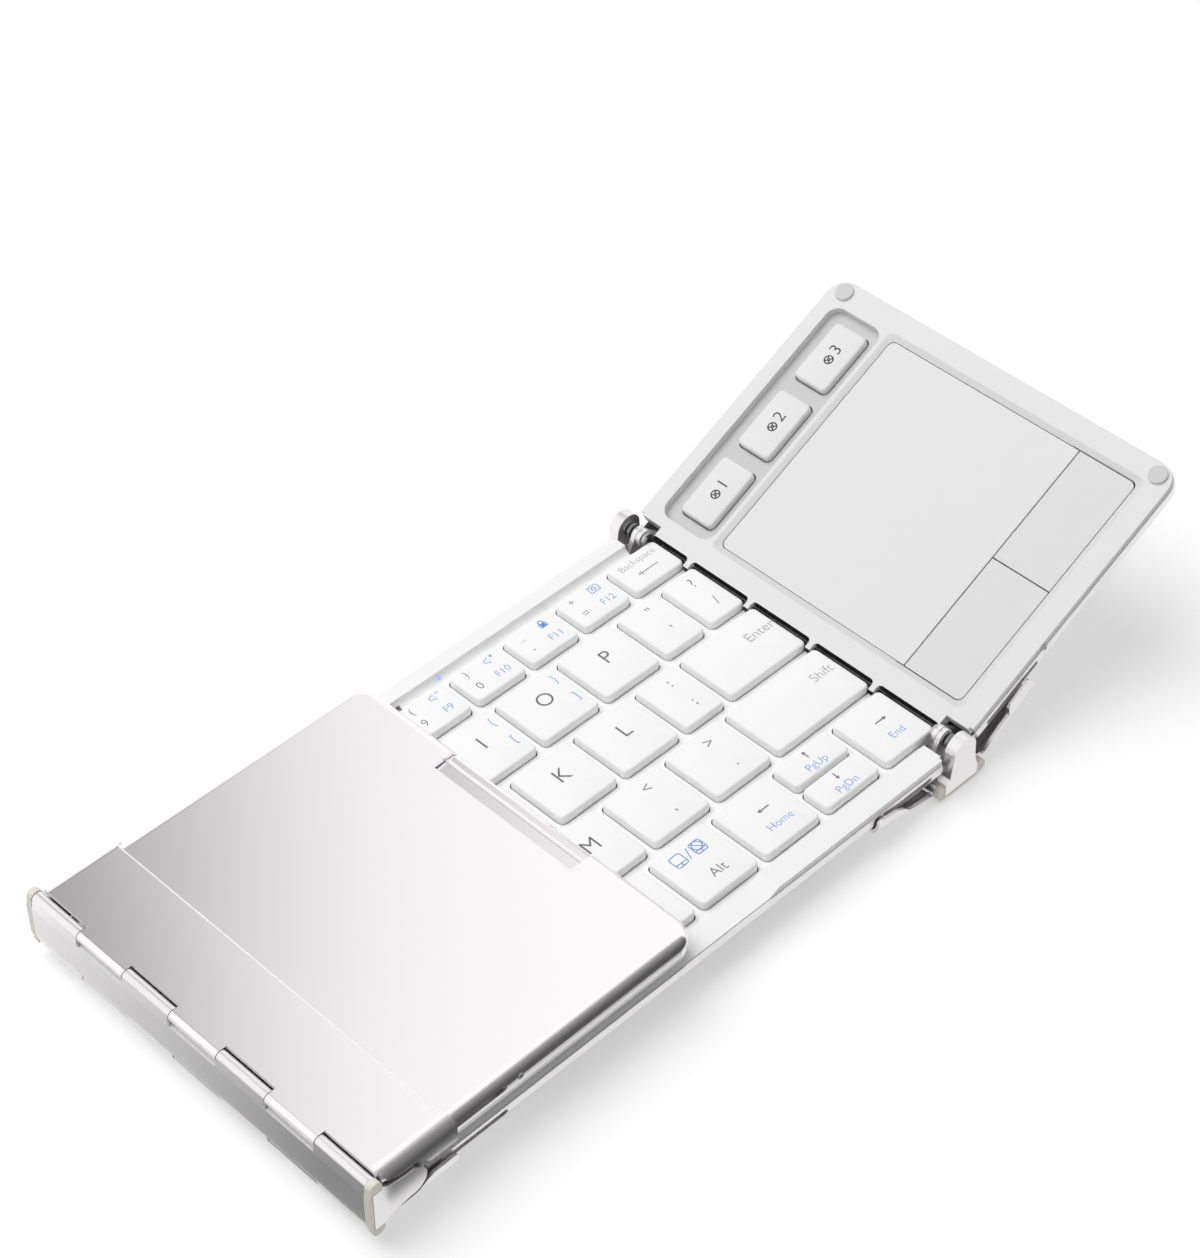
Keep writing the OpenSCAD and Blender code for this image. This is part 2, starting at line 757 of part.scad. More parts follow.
module click_button_right() {
    click_button(pad_from + pad_l / 2 + click_gap / 2, right_wing_l);
}

module device_key(i) {
    x = device_x[i];
    color(deck_color) at_right_wing() {
        slab([x, device_y, key_bottom], [x + device_key_l, device_y + device_key_d, device_top - 0.5], key_r);
        slab([x + 0.3, device_y + 0.3, device_top - 0.5],
            [x + device_key_l - 0.3, device_y + device_key_d - 0.3, device_top], key_r);
        translate([x + device_key_l / 2, device_y + device_key_d / 2, plate_bottom])
            cylinder(h = key_bottom - plate_bottom, r = 1.5);
    }
}

module rubber_bumpers() {
    color("lightgray") at_right_wing() for (y = [-bumper_y, bumper_y])
        translate([bumper_x, y, frame_top - 0.5]) cylinder(h = bumper_top - frame_top + 0.5, r = bumper_r);
}

module touch_board() {
    color("seagreen") at_right_wing()
        block([pad_from + 0.6, pad_y - click_d + 0.6, pad_bottom - eps - board_t],
            [pad_from + pad_l - 0.6, pad_y + pad_d - 0.6, pad_bottom - eps]);
}

module battery() {
    color("slategray") at_right_wing()
        slab([pad_from + 2, pad_y + 2, floor_top + eps],
            [pad_from + pad_l - 3, pad_y + pad_d - 3, pad_bottom - 2 * eps - board_t], 1);
}

// ---------- hinges, drawn open: the spine lies level under the pivot ----------

// Runs children over each knuckle place of the spine (odd = 0) or of a sleeve (odd = 1)
module each_knuckle(odd) {
    for (i = [odd:2:knuckle_count - 1])
        along_y(-rod_half + i * seg + knuckle_gap, -rod_half + (i + 1) * seg - knuckle_gap) children();
}

// The spine's section without its knuckles
module spine_section() {
    polygon([[-knuckle_x, -knuckle_drop - knuckle_r], [-face_half, -spine_reach], [face_half, -spine_reach],
        [knuckle_x, -knuckle_drop - knuckle_r], [knuckle_x, -knuckle_drop], [knuckle_x - 1.2, -inner_face],
        [-knuckle_x + 1.2, -inner_face], [-knuckle_x, -knuckle_drop]]);
}

// Outline of an ear: round over the pivot, with a step at its foot. Drawn in X and Z.
module ear_outline(grow) {
    foot = -(spine_reach - 0.9);
    circle(ear_r + grow);
    polygon([[-5.1 - grow, foot - grow], [-5.1 - grow, foot + 2.9 + grow], [-4 - grow, foot + 3.8 + grow],
        [-3.75 - grow, -3.4], [-ear_r - grow, -0.5], [ear_r + grow, -0.5], [3.5 + grow, -3],
        [4 + grow, foot + 3.8 + grow], [4.6 + grow, foot + 2.6 + grow], [4.6 + grow, foot - grow]]);
}

module spine_piece() {
    difference() {
        union() {
            each_knuckle(0) {
                spine_section();
                for (x = [-knuckle_x, knuckle_x]) translate([x, -knuckle_drop]) circle(knuckle_r);
            }
            along_y(-rod_half, rod_half) intersection() {
                spine_section();
                translate([-knuckle_x + knuckle_r + 0.25, -20])
                    square([2 * (knuckle_x - knuckle_r - 0.25), 40]);
            }
            mirrored_y() along_y(ear_back, ear_face) ear_outline(0);
        }
        for (x = [-knuckle_x, knuckle_x])
            along_y(-rod_half - 1, rod_half + 1) translate([x, -knuckle_drop]) circle(rod_r + running);
        mirrored_y() along_y(ear_back - 1, ear_back + 1.6) circle(pivot_r + 0.02);
    }
}

module end_cap_pair() {
    mirrored_y() along_y(cap_in, ear_face - 0.1) difference() {
        union() {
            spine_section();
            for (x = [-knuckle_x, knuckle_x]) translate([x, -knuckle_drop]) circle(cap_r);
            translate([-knuckle_x, -knuckle_drop - 0.3]) square([2 * knuckle_x, 1.6]);
        }
        ear_outline(0.04);
    }
}

module knuckle_rod_pair() {
    for (x = [-knuckle_x, knuckle_x])
        along_y(-rod_half, rod_half) translate([x, -knuckle_drop]) circle(rod_r);
}

module pivot_pin_pair() {
    mirrored_y() {
        along_y(pin_end, ear_back + 1.5) circle(pivot_r);
        along_y(pin_end - pin_head_t, pin_end) difference() {
            circle(1.5);
            circle(0.5, $fn = 6);
        }
    }
}

// Cupped spring washers that hold the pivot by friction
module washer_stack() {
    pitch = washer_space / washer_count;
    mirrored_y() for (i = [0:washer_count - 1])
        translate([0, base_lug + (i + 0.5) * pitch, 0]) rotate([90, 0, 0]) mirror([0, 0, i % 2])
            rotate_extrude()
                polygon([[pivot_r + running, -0.28], [pivot_r + running, 0], [1.7, 0.28], [1.7, 0]]);
}

// Side view of a sleeve in X and Z: low beside the ear, then a tall tab up to the far end
module sleeve_side(heights, high) {
    far = sleeve_l + side_reach;
    translate([0, -knuckle_r]) {
        polygon(concat([[knuckle_r + 0.3, 0], [knuckle_r + 0.3, heights[0][1]]], heights,
            [[far - 0.8, high], [far - 0.8, 0]]));
        round_rect([far - 4, 0], [far, high], 0.8);
    }
}

// Sleeve: a metal plate that slides under its panel, with the knuckle at its near edge
module sleeve_piece(heights, high) {
    plate_y = sleeve_out - sleeve_edge_r;
    difference() {
        union() {
            intersection() {
                along_x(knuckle_r + 0.3, sleeve_l + side_reach) difference() {
                    tub([-sleeve_out, -knuckle_r], [sleeve_out, 10], sleeve_edge_r + sleeve_t);
                    tub([-sleeve_in, -knuckle_r + sleeve_t], [sleeve_in, 11], sleeve_edge_r);
                }
                along_y(-sleeve_out, sleeve_out) sleeve_side(heights, high);
            }
            each_knuckle(1) {
                circle(knuckle_r);
                translate([0, -knuckle_r]) square([knuckle_r + 0.7, sleeve_t]);
            }
            mirrored_y() along_y(sleeve_in - 0.3, sleeve_in + eps)
                translate([sleeve_l - guide_back, guide_h]) circle(guide_r);
        }
        along_y(-rod_half - 1, rod_half + 1) circle(rod_r + running);
        mirrored_y() block([-1, half_d - 0.4, -5], [knuckle_r + 0.8, sleeve_out + 1, 5]);
        block([sleeve_l, -plate_y, -5], [sleeve_l + side_reach + 1, plate_y, 10]);
    }
}

// Heights of the side walls beside the ear, from the knuckle outwards
module base_sleeve() {
    sleeve_piece([[2.6, 1.6], [3.4, 1.8], [8, 1.9], [10.2, 2.5], [12.2, 3.7], [14, 4.3]], 4.3);
}

module wing_sleeve() {
    sleeve_piece([[2.6, 1.9], [3.4, 2.4], [5.4, 3.1], [8.4, 3.3], [11.6, 3.3], [12.4, 5.2], [13.2, 5.8]],
        5.8);
}

// ---------- the two hinges ----------

module left_spine() {
    color(body_color) at_left_spine() spine_piece();
}

module left_end_caps() {
    color("ivory") at_left_spine() end_cap_pair();
}

module left_knuckle_rods() {
    color("gray") at_left_spine() knuckle_rod_pair();
}

module left_pivot_pins() {
    color("gray") at_left_spine() pivot_pin_pair();
}

module left_spring_washers() {
    color("darkgray") at_left_spine() washer_stack();
}

module left_sleeve_base() {
    color(body_color) at_left_spine() at_knuckle(-1, 0) base_sleeve();
}

module left_sleeve_wing() {
    color(body_color) at_left_spine() at_knuckle(1, 0) wing_sleeve();
}

module right_spine() {
    color(body_color) at_right_spine() spine_piece();
}

module right_end_caps() {
    color("ivory") at_right_spine() end_cap_pair();
}

module right_knuckle_rods() {
    color("gray") at_right_spine() knuckle_rod_pair();
}

module right_pivot_pins() {
    color("gray") at_right_spine() pivot_pin_pair();
}

module right_spring_washers() {
    color("darkgray") at_right_spine() washer_stack();
}

module right_sleeve_base() {
    color(body_color) at_right_spine() at_knuckle(-1, 90) base_sleeve();
}

module right_sleeve_wing() {
    color(body_color) at_right_spine() at_knuckle(1, 90 - right_wing_up) wing_sleeve();
}

base_tray();
key_deck();
base_board();
base_feet();
indicator_lens();
charge_port();
for (k = CENTRE_KEYS) centre_key(k);
centre_keys_rear();
centre_keys_middle();
space_bars();
left_tray();
left_deck();
left_board();
left_keys_rear();
left_keys_middle();
left_keys_front();
right_tray();
right_deck();
touchpad();
click_button_left();
click_button_right();
for (i = [0:2]) device_key(i);
rubber_bumpers();
battery();
touch_board();
left_spine();
left_end_caps();
left_sleeve_base();
left_sleeve_wing();
left_knuckle_rods();
left_pivot_pins();
left_spring_washers();
right_spine();
right_end_caps();
right_sleeve_base();
right_sleeve_wing();
right_knuckle_rods();
right_pivot_pins();
right_spring_washers();
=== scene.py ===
"""Looks of the folding pocket keyboard, built round its packed construction model.

Lengths in this file are in millimetres unless a name says otherwise; MM turns them into metres.
Panel coordinates: x runs to the typist's right, y to the back, z up from the line of the pivots.
"""
import json
import math

import bmesh
import bpy
from mathutils import Matrix, Vector


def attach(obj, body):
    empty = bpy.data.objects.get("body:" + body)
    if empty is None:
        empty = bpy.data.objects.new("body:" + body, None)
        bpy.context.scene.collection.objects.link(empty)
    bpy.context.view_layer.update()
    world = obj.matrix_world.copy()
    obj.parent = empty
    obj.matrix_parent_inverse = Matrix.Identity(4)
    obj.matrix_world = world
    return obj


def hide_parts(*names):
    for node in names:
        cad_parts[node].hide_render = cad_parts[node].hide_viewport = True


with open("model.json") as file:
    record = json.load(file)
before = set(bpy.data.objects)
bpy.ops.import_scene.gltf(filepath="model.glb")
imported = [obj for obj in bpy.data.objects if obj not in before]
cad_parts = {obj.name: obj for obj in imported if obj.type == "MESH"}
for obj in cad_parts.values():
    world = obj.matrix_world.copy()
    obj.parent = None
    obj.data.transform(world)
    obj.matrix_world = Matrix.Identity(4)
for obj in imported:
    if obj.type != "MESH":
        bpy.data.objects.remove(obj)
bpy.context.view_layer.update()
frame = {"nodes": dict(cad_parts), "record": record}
nodes = frame["nodes"]

MM = 0.001
SAME = 1e-3               # coordinates nearer than this are equal
PIVOT_X = 75.0            # from the middle of the centre panel to each line of pivots
PIVOT_Z = 10.2
WING_UP = 26.0            # degrees that the right wing stands up in the photo
HALF_DEPTH = 47.2         # from the middle line to the outside of a tray's side

# Levels of the key tops and skirts, from the line of the pivots
KEY_TOP = -0.3
KEY_SKIRT = -2.7
DEVICE_TOP = -0.8


# ---------- where each panel stands at rest ----------

def at(x, z):
    return Matrix.Translation(Vector((x, 0, z)) * MM)


def turned(degrees):
    return Matrix.Rotation(math.radians(degrees), 4, "Y")


CENTRE = at(0, PIVOT_Z)
RIGHT_WING = at(PIVOT_X, PIVOT_Z) @ turned(-WING_UP)
LEFT_WING = at(-PIVOT_X, PIVOT_Z) @ turned(180)


# ---------- small modelling helpers ----------

def deselect():
    bpy.ops.object.select_all(action="DESELECT")


def use(piece):
    deselect()
    piece.select_set(True)
    bpy.context.view_layer.objects.active = piece


def join(pieces, name):
    deselect()
    for piece in pieces:
        piece.select_set(True)
    bpy.context.view_layer.objects.active = pieces[0]
    if len(pieces) > 1:
        bpy.ops.object.join()
    joined = bpy.context.object
    joined.name = name
    joined.data.name = name
    return joined


def settle(piece, matrix=None):
    """Puts the piece's place into its mesh, so that its object sits at the origin."""
    if matrix is not None:
        piece.matrix_world = matrix @ piece.matrix_basis
    use(piece)
    bpy.ops.object.transform_apply(location=True, rotation=True, scale=True)


def pick_edges(piece, test):
    """In edit mode, selects the edges whose two ends pass the test."""
    mesh = bmesh.from_edit_mesh(piece.data)
    bpy.ops.mesh.select_mode(type="EDGE")
    for edge in mesh.edges:
        edge.select_set(False)
    for edge in mesh.edges:
        if test(edge.verts[0].co / MM, edge.verts[1].co / MM):
            edge.select_set(True)
    bmesh.update_edit_mesh(piece.data)


def pick_faces(piece, test):
    """In edit mode, selects the faces whose middle and normal pass the test."""
    mesh = bmesh.from_edit_mesh(piece.data)
    bpy.ops.mesh.select_mode(type="FACE")
    for face in mesh.faces:
        face.select_set(False)
    for face in mesh.faces:
        if test(face.calc_center_median() / MM, face.normal):
            face.select_set(True)
    bmesh.update_edit_mesh(piece.data)


def upright(a, b):
    """Whether the edge between two points stands square to its panel."""
    return abs(a.x - b.x) < SAME and abs(a.y - b.y) < SAME


def round_edges(offset, segments, clamp=True):
    bpy.ops.mesh.bevel(offset=offset * MM, segments=segments, profile=0.5, affect="EDGES",
                       clamp_overlap=clamp)


def smooth(piece, degrees=35):
    use(piece)
    bpy.ops.object.shade_smooth_by_angle(angle=math.radians(degrees))


def box(low, high, name):
    deselect()
    low, high = Vector(low), Vector(high)
    bpy.ops.mesh.primitive_cube_add(size=1, location=(low + high) / 2 * MM)
    piece = bpy.context.object
    piece.scale = (high - low) * MM
    piece.name = name
    settle(piece)
    return piece


# ---------- materials ----------

def surface_group():
    """Slow tone change, fine grain and their roughness and height, for any finish here."""
    group = bpy.data.node_groups.new("fine_surface", "ShaderNodeTree")
    face = group.interface
    for name, kind, value in (("Tone", "NodeSocketColor", (0.8, 0.8, 0.8, 1)),
                              ("Second Tone", "NodeSocketColor", (0.7, 0.7, 0.7, 1)),
                              ("Tone Scale", "NodeSocketFloat", 40.0),
                              ("Grain Scale", "NodeSocketFloat", 4000.0),
                              ("Roughness Low", "NodeSocketFloat", 0.3),
                              ("Roughness High", "NodeSocketFloat", 0.4)):
        socket = face.new_socket(name=name, in_out="INPUT", socket_type=kind)
        socket.default_value = value
    face.new_socket(name="Color", in_out="OUTPUT", socket_type="NodeSocketColor")
    face.new_socket(name="Roughness", in_out="OUTPUT", socket_type="NodeSocketFloat")
    face.new_socket(name="Height", in_out="OUTPUT", socket_type="NodeSocketFloat")
    add, link = group.nodes.new, group.links.new
    given, result = add("NodeGroupInput"), add("NodeGroupOutput")
    place = add("ShaderNodeTexCoord")
    tone, grain = add("ShaderNodeTexNoise"), add("ShaderNodeTexNoise")
    tone.inputs["Detail"].default_value = 3.0
    grain.inputs["Detail"].default_value = 2.0
    link(place.outputs["Object"], tone.inputs["Vector"])
    link(place.outputs["Object"], grain.inputs["Vector"])
    link(given.outputs["Tone Scale"], tone.inputs["Scale"])
    link(given.outputs["Grain Scale"], grain.inputs["Scale"])
    blend = add("ShaderNodeMix")
    blend.data_type = "RGBA"
    link(tone.outputs["Fac"], blend.inputs["Factor"])
    link(given.outputs["Tone"], blend.inputs["A"])
    link(given.outputs["Second Tone"], blend.inputs["B"])
    spread = add("ShaderNodeMapRange")
    spread.inputs["From Min"].default_value = 0.3
    spread.inputs["From Max"].default_value = 0.7
    link(grain.outputs["Fac"], spread.inputs["Value"])
    link(given.outputs["Roughness Low"], spread.inputs["To Min"])
    link(given.outputs["Roughness High"], spread.inputs["To Max"])
    link(blend.outputs["Result"], result.inputs["Color"])
    link(spread.outputs["Result"], result.inputs["Roughness"])
    link(grain.outputs["Fac"], result.inputs["Height"])
    return group


FINE_SURFACE = surface_group()


def finish(name, tone, second, tone_scale, grain_scale, rough, bump, metallic=0.0, coat=0.0,
           glow=None, ior=1.45):
    """A material whose tone, roughness and fine relief come from the shared surface group."""
    material = bpy.data.materials.new(name)
    material.use_nodes = True
    tree = material.node_tree
    shader = tree.nodes["Principled BSDF"]
    detail = tree.nodes.new("ShaderNodeGroup")
    detail.node_tree = FINE_SURFACE
    detail.inputs["Tone"].default_value = (*tone, 1)
    detail.inputs["Second Tone"].default_value = (*second, 1)
    detail.inputs["Tone Scale"].default_value = tone_scale
    detail.inputs["Grain Scale"].default_value = grain_scale
    detail.inputs["Roughness Low"].default_value = rough[0]
    detail.inputs["Roughness High"].default_value = rough[1]
    relief = tree.nodes.new("ShaderNodeBump")
    relief.inputs["Strength"].default_value = bump
    relief.inputs["Distance"].default_value = 0.00002
    link = tree.links.new
    link(detail.outputs["Color"], shader.inputs["Base Color"])
    link(detail.outputs["Roughness"], shader.inputs["Roughness"])
    link(detail.outputs["Height"], relief.inputs["Height"])
    link(relief.outputs["Normal"], shader.inputs["Normal"])
    shader.inputs["Metallic"].default_value = metallic
    shader.inputs["Coat Weight"].default_value = coat
    shader.inputs["IOR"].default_value = ior
    if glow:
        shader.inputs["Emission Color"].default_value = (*glow[0], 1)
        shader.inputs["Emission Strength"].default_value = glow[1]
    return material


def grey(value, blue=0.0):
    return (value, value, value + blue)


SILVER = finish("anodised_silver", (0.86, 0.845, 0.85), (0.82, 0.805, 0.81), 25, 5200,
                (0.30, 0.38), 0.10, metallic=1.0)
PANEL_SILVER = finish("anodised_panel_back", (0.92, 0.895, 0.91), (0.90, 0.875, 0.89), 25, 5200,
                      (0.17, 0.21), 0.05, metallic=1.0)
WHITE = finish("white_key_plastic", grey(0.94), grey(0.925), 60, 3600, (0.42, 0.5), 0.10)
DECK_WHITE = finish("white_deck_plastic", grey(0.92), grey(0.905), 60, 3600, (0.42, 0.5), 0.10)
FRAME_WHITE = finish("pale_frame_plastic", grey(0.785), grey(0.775), 60, 3600, (0.38, 0.46), 0.10)
TOUCH = finish("touch_surface", grey(0.77), grey(0.76), 30, 5200, (0.36, 0.42), 0.06)
BUTTON = finish("click_button_surface", grey(0.73), grey(0.72), 30, 5200, (0.36, 0.42), 0.06)
IVORY = finish("ivory_end_cap", (0.80, 0.77, 0.70), (0.76, 0.73, 0.66), 90, 3000, (0.3, 0.38), 0.08,
               coat=0.2)
STEEL = finish("turned_steel", grey(0.55), grey(0.48), 400, 4000, (0.18, 0.3), 0.15, metallic=1.0)
DARK_STEEL = finish("dark_screw_steel", grey(0.32), grey(0.26), 400, 4000, (0.25, 0.4), 0.15, metallic=1.0)
RUBBER = finish("grey_rubber", grey(0.66), grey(0.62), 90, 2500, (0.55, 0.7), 0.25)
FOOT_RUBBER = finish("dark_foot_rubber", grey(0.10), grey(0.08), 90, 2500, (0.6, 0.75), 0.3)
BOARD = finish("circuit_board", (0.03, 0.16, 0.08), (0.02, 0.12, 0.06), 200, 1500, (0.35, 0.45), 0.2)
CELL = finish("battery_wrap", grey(0.30, 0.02), grey(0.26, 0.02), 60, 1200, (0.3, 0.4), 0.2, metallic=0.4)
LAMP = finish("indicator_blue", (0.30, 0.38, 0.95), (0.28, 0.35, 0.9), 500, 4000, (0.1, 0.2), 0.0,
              glow=((0.26, 0.33, 1.0), 0.75))
DEVICE_WHITE = finish("device_key_plastic", grey(0.79), grey(0.78), 60, 3600, (0.42, 0.5), 0.10)
# painted highlight: a near-white finish that stands in for light on the sleeve's free edge and lightens the
# shade in its knuckle slots
EDGE = finish("painted_edge_light", grey(0.97), grey(0.96), 60, 3600, (0.5, 0.6), 0.0)
# painted shade: a darker grey on the slope round the touchpad, standing in for the shade on it
PAD_SLOPE_SHADE = finish("pad_slope_painted_shade", grey(0.69), grey(0.68), 60, 3600, (0.38, 0.46), 0.10)
# painted shade: a darker grey on the floor of the device keys' recess, where shade falls
RECESS_FLOOR_SHADE = finish("recess_floor_painted_shade", grey(0.60), grey(0.59), 60, 3600, (0.42, 0.5), 0.10)
# painted shade: near black standing in for deep shade in the gap at the key ends and in the screw crosses
PAINTED_DEEP_SHADE = finish("deep_gap_painted_shade", grey(0.035), grey(0.03), 90, 2500, (0.6, 0.7), 0.1)
BLACK_INK = finish("black_ink", grey(0.03), grey(0.025), 700, 4000, (0.5, 0.6), 0.0)
INK = finish("grey_ink", grey(0.16), grey(0.14), 700, 4000, (0.5, 0.6), 0.0)
PALE_INK = finish("pale_grey_ink", grey(0.42), grey(0.40), 700, 4000, (0.5, 0.6), 0.0)
BLUE_INK = finish("blue_ink", (0.16, 0.33, 0.80), (0.15, 0.31, 0.77), 700, 4000, (0.5, 0.6), 0.0)


# ---------- marks printed on the keys ----------

INK_LIFT = 0.012          # height of a printed mark's lower side over its key
INK_THICKNESS = 0.01
INKS = {"black": BLACK_INK, "ink": INK, "pale": PALE_INK, "blue": BLUE_INK}


def text_mark(words, size, ink, thin=0.035):
    """Letters printed flat, centred on the origin."""
    deselect()
    bpy.ops.object.text_add(location=(0, 0, 0))
    mark = bpy.context.object
    shape = mark.data
    shape.body = words
    shape.size = size * MM
    shape.align_x, shape.align_y = "CENTER", "CENTER"
    shape.resolution_u = 4
    shape.offset = -thin * MM
    shape.extrude = INK_THICKNESS / 2 * MM
    bpy.ops.object.convert(target="MESH")
    mark = bpy.context.object
    mark.data.materials.clear()
    mark.data.materials.append(INKS[ink])
    return mark


def stroke_mark(lines, width, ink):
    """Thin printed lines; each line is a list of points and whether it closes."""
    shape = bpy.data.curves.new("stroke", "CURVE")
    shape.dimensions = "3D"
    shape.bevel_depth = width / 2 * MM
    shape.bevel_resolution = 1
    for points, closed in lines:
        spline = shape.splines.new("POLY")
        spline.points.add(len(points) - 1)
        for point, (x, y) in zip(spline.points, points):
            point.co = (x * MM, y * MM, 0, 1)
        spline.use_cyclic_u = closed
    shape.use_fill_caps = True
    mark = bpy.data.objects.new("stroke", shape)
    bpy.context.scene.collection.objects.link(mark)
    use(mark)
    bpy.ops.object.convert(target="MESH")
    mark = bpy.context.object
    mark.scale = (1, 1, INK_THICKNESS / width)
    settle(mark)
    mark.data.materials.clear()
    mark.data.materials.append(INKS[ink])
    return mark


def ring(radius, count=16, centre=(0, 0), start=0.0, sweep=360.0):
    steps = count if sweep >= 360 else count + 1
    return [(centre[0] + radius * math.cos(math.radians(start + sweep * i / count)),
             centre[1] + radius * math.sin(math.radians(start + sweep * i / count)))
            for i in range(steps)]


def rounded(width, height, radius, centre=(0, 0)):
    """Outline of a rectangle with round corners."""
    w, h = width / 2 - radius, height / 2 - radius
    points = []
    for sx, sy, start in ((1, 1, 0), (-1, 1, 90), (-1, -1, 180), (1, -1, 270)):
        points += ring(radius, 3, (centre[0] + sx * w, centre[1] + sy * h), start, 90)
    return points


SPEAKER = ([(-1.25, -0.4), (-0.65, -0.4), (0, -0.95), (0, 0.95), (-0.65, 0.4), (-1.25, 0.4)], True)


def arrow(angle, length=3.0, head=0.7):
    turn = Matrix.Rotation(math.radians(angle), 2)
    half = length / 2

    def put(points):
        return [tuple(turn @ Vector(p)) for p in points]

    return [(put([(-half, 0), (half, 0)]), False),
            (put([(half - head, head * 0.6), (half, 0), (half - head, -head * 0.6)]), True)]


def pad_outline(x):
    """Small touchpad with its two buttons."""
    return [(rounded(2.9, 3.1, 0.5, (x, 0)), True), ([(x - 1.45, -0.75), (x + 1.45, -0.75)], False),
            ([(x, -0.75), (x, -1.55)], False)]


ICONS = {
    "quieter": [SPEAKER, ([(0.6, 0.7), (1.5, 0.7)], False)],
    "louder": [SPEAKER, ([(0.6, 0.7), (1.5, 0.7)], False), ([(1.05, 0.25), (1.05, 1.15)], False)],
    "lock": [([(-0.85, -1.0), (0.85, -1.0), (0.85, 0.1), (-0.85, 0.1)], True),
             ([(-0.6, -0.75), (0.6, -0.75)], False), ([(-0.6, -0.45), (0.6, -0.45)], False),
             ([(-0.6, -0.15), (0.6, -0.15)], False),
             ([(-0.55, 0.1)] + ring(0.55, 8, (0, 0.45), 180, -180) + [(0.55, 0.1)], False)],
    "screen": [(rounded(2.6, 1.9, 0.35), True), (ring(0.5, 12), True), ([(-0.9, 0.6), (-0.6, 0.6)], False),
               ([(0.7, -0.6), (0.95, -0.6)], False)],
    "touch_switch": pad_outline(-2.7) + pad_outline(2.7)
                    + [(ring(1.15, 18, (2.7, 0.35)), True), ([(1.9, 1.15), (3.5, -0.45)], False),
                       ([(-0.55, -1.4), (0.55, 1.4)], False)],
    "left": arrow(180), "right": arrow(0), "up": arrow(90, 1.9, 0.6), "down": arrow(-90, 1.9, 0.6),
    "long_left": arrow(180, 5.6, 0.9),
    "device": [(ring(1.0, 18), True), (ring(0.28, 8), True)]
              + [([(0.35 * math.cos(a), 0.35 * math.sin(a)), (0.95 * math.cos(a), 0.95 * math.sin(a))], False)
                 for a in (0.785, 2.356, 3.927, 5.498)],
    "play": [([(-1.0, -0.8), (0.2, 0), (-1.0, 0.8)], True), ([(0.6, -0.8), (0.6, 0.8)], False)],
    "next": [([(-1.1, -0.7), (0, 0), (-1.1, 0.7)], True), ([(0, -0.7), (1.1, 0), (0, 0.7)], True)],
    "previous": [([(1.1, -0.7), (0, 0), (1.1, 0.7)], True), ([(0, -0.7), (-1.1, 0), (0, 0.7)], True)],
    "find": [(ring(0.75, 14, (-0.2, 0.2)), True), ([(0.35, -0.35), (1.1, -1.1)], False)],
    "pages": [(rounded(1.7, 1.7, 0.2, (-0.3, -0.3)), True), (rounded(1.7, 1.7, 0.2, (0.4, 0.4)), True)],
}
ICON_WIDTH = {"touch_switch": 0.24, "long_left": 0.3, "left": 0.3, "right": 0.3, "up": 0.28, "down": 0.28,
              "device": 0.3, "lock": 0.3}


def letter(sign):
    return [("text", sign, 0.53, 0.56, 5.2, "ink")]


def letter_with(sign, upper, lower):
    return letter(sign) + [("text", upper, 0.88, 0.76, 3.1, "blue"), ("text", lower, 0.88, 0.34, 3.1, "blue")]


def pair(upper, lower):
    return [("text", upper, 0.60, 0.76, 3.9, "ink"), ("text", lower, 0.60, 0.30, 3.9, "ink")]


def figure(upper, lower, icon, number):
    return [("text", upper, 0.24, 0.79, 3.0, "ink"), ("text", lower, 0.24, 0.34, 3.0, "ink"),
            ("icon", icon, 0.72, 0.78, 0.2, "blue"), ("text", "F" + number, 0.72, 0.33, 2.6, "blue")]


def word(words, x=0.5, y=0.6, size=2.9, ink="ink"):
    return [("text", words, x, y, size, ink)]


def arrow_word(icon, words, x=0.56, arrow_y=0.6, word_y=0.3):
    return [("icon", icon, x, arrow_y, 0.2, "ink"), ("text", words, x, word_y, 2.7, "blue")]


# ---------- keys ----------

FRONT_Y = -40.0           # front edge of the front row
ROW_PITCH = 17.6
KEY_W, KEY_D = 15.6, 15.4
KEY_PITCH = 17.7
KEY_GAP = 2.1
FIGURE_D = 9.8
FIGURE_PITCH = 15.3
FIGURE_W = 13.3
HALF_D = (KEY_D - 1) / 2
RIGHT_END = PIVOT_X + 1.05
LEFT_END = -PIVOT_X + 1.9

# Front edge and depth of each row: 0 to 4 from the front, 5 and 6 the two half keys in row 0
ROWS = {0: (FRONT_Y, KEY_D), 1: (FRONT_Y + ROW_PITCH, KEY_D), 2: (FRONT_Y + 2 * ROW_PITCH, KEY_D),
        3: (FRONT_Y + 3 * ROW_PITCH, KEY_D), 4: (FRONT_Y + 4 * ROW_PITCH + 0.1, FIGURE_D),
        5: (FRONT_Y + KEY_D - HALF_D, HALF_D), 6: (FRONT_Y, HALF_D)}

# Left side of the first single key of each row, and of the odd keys at the right end
FIGURE_X = RIGHT_END - 60
UPPER_X, HOME_X, LOWER_X, FRONT_X = 17.5, 5, 13.4, 8.6
SLASH_X = 66.2
ENTER_X = 53.6
BACKSPACE_W = 14.1
WING_X = 2.6              # first key of the left wing, from its line of pivots

KEY_CORNER = 1.2
CHAMFER_IN = 0.34
CHAMFER_UP = 0.34
CHAMFER_ROUND = 0.14

cap_store = {}


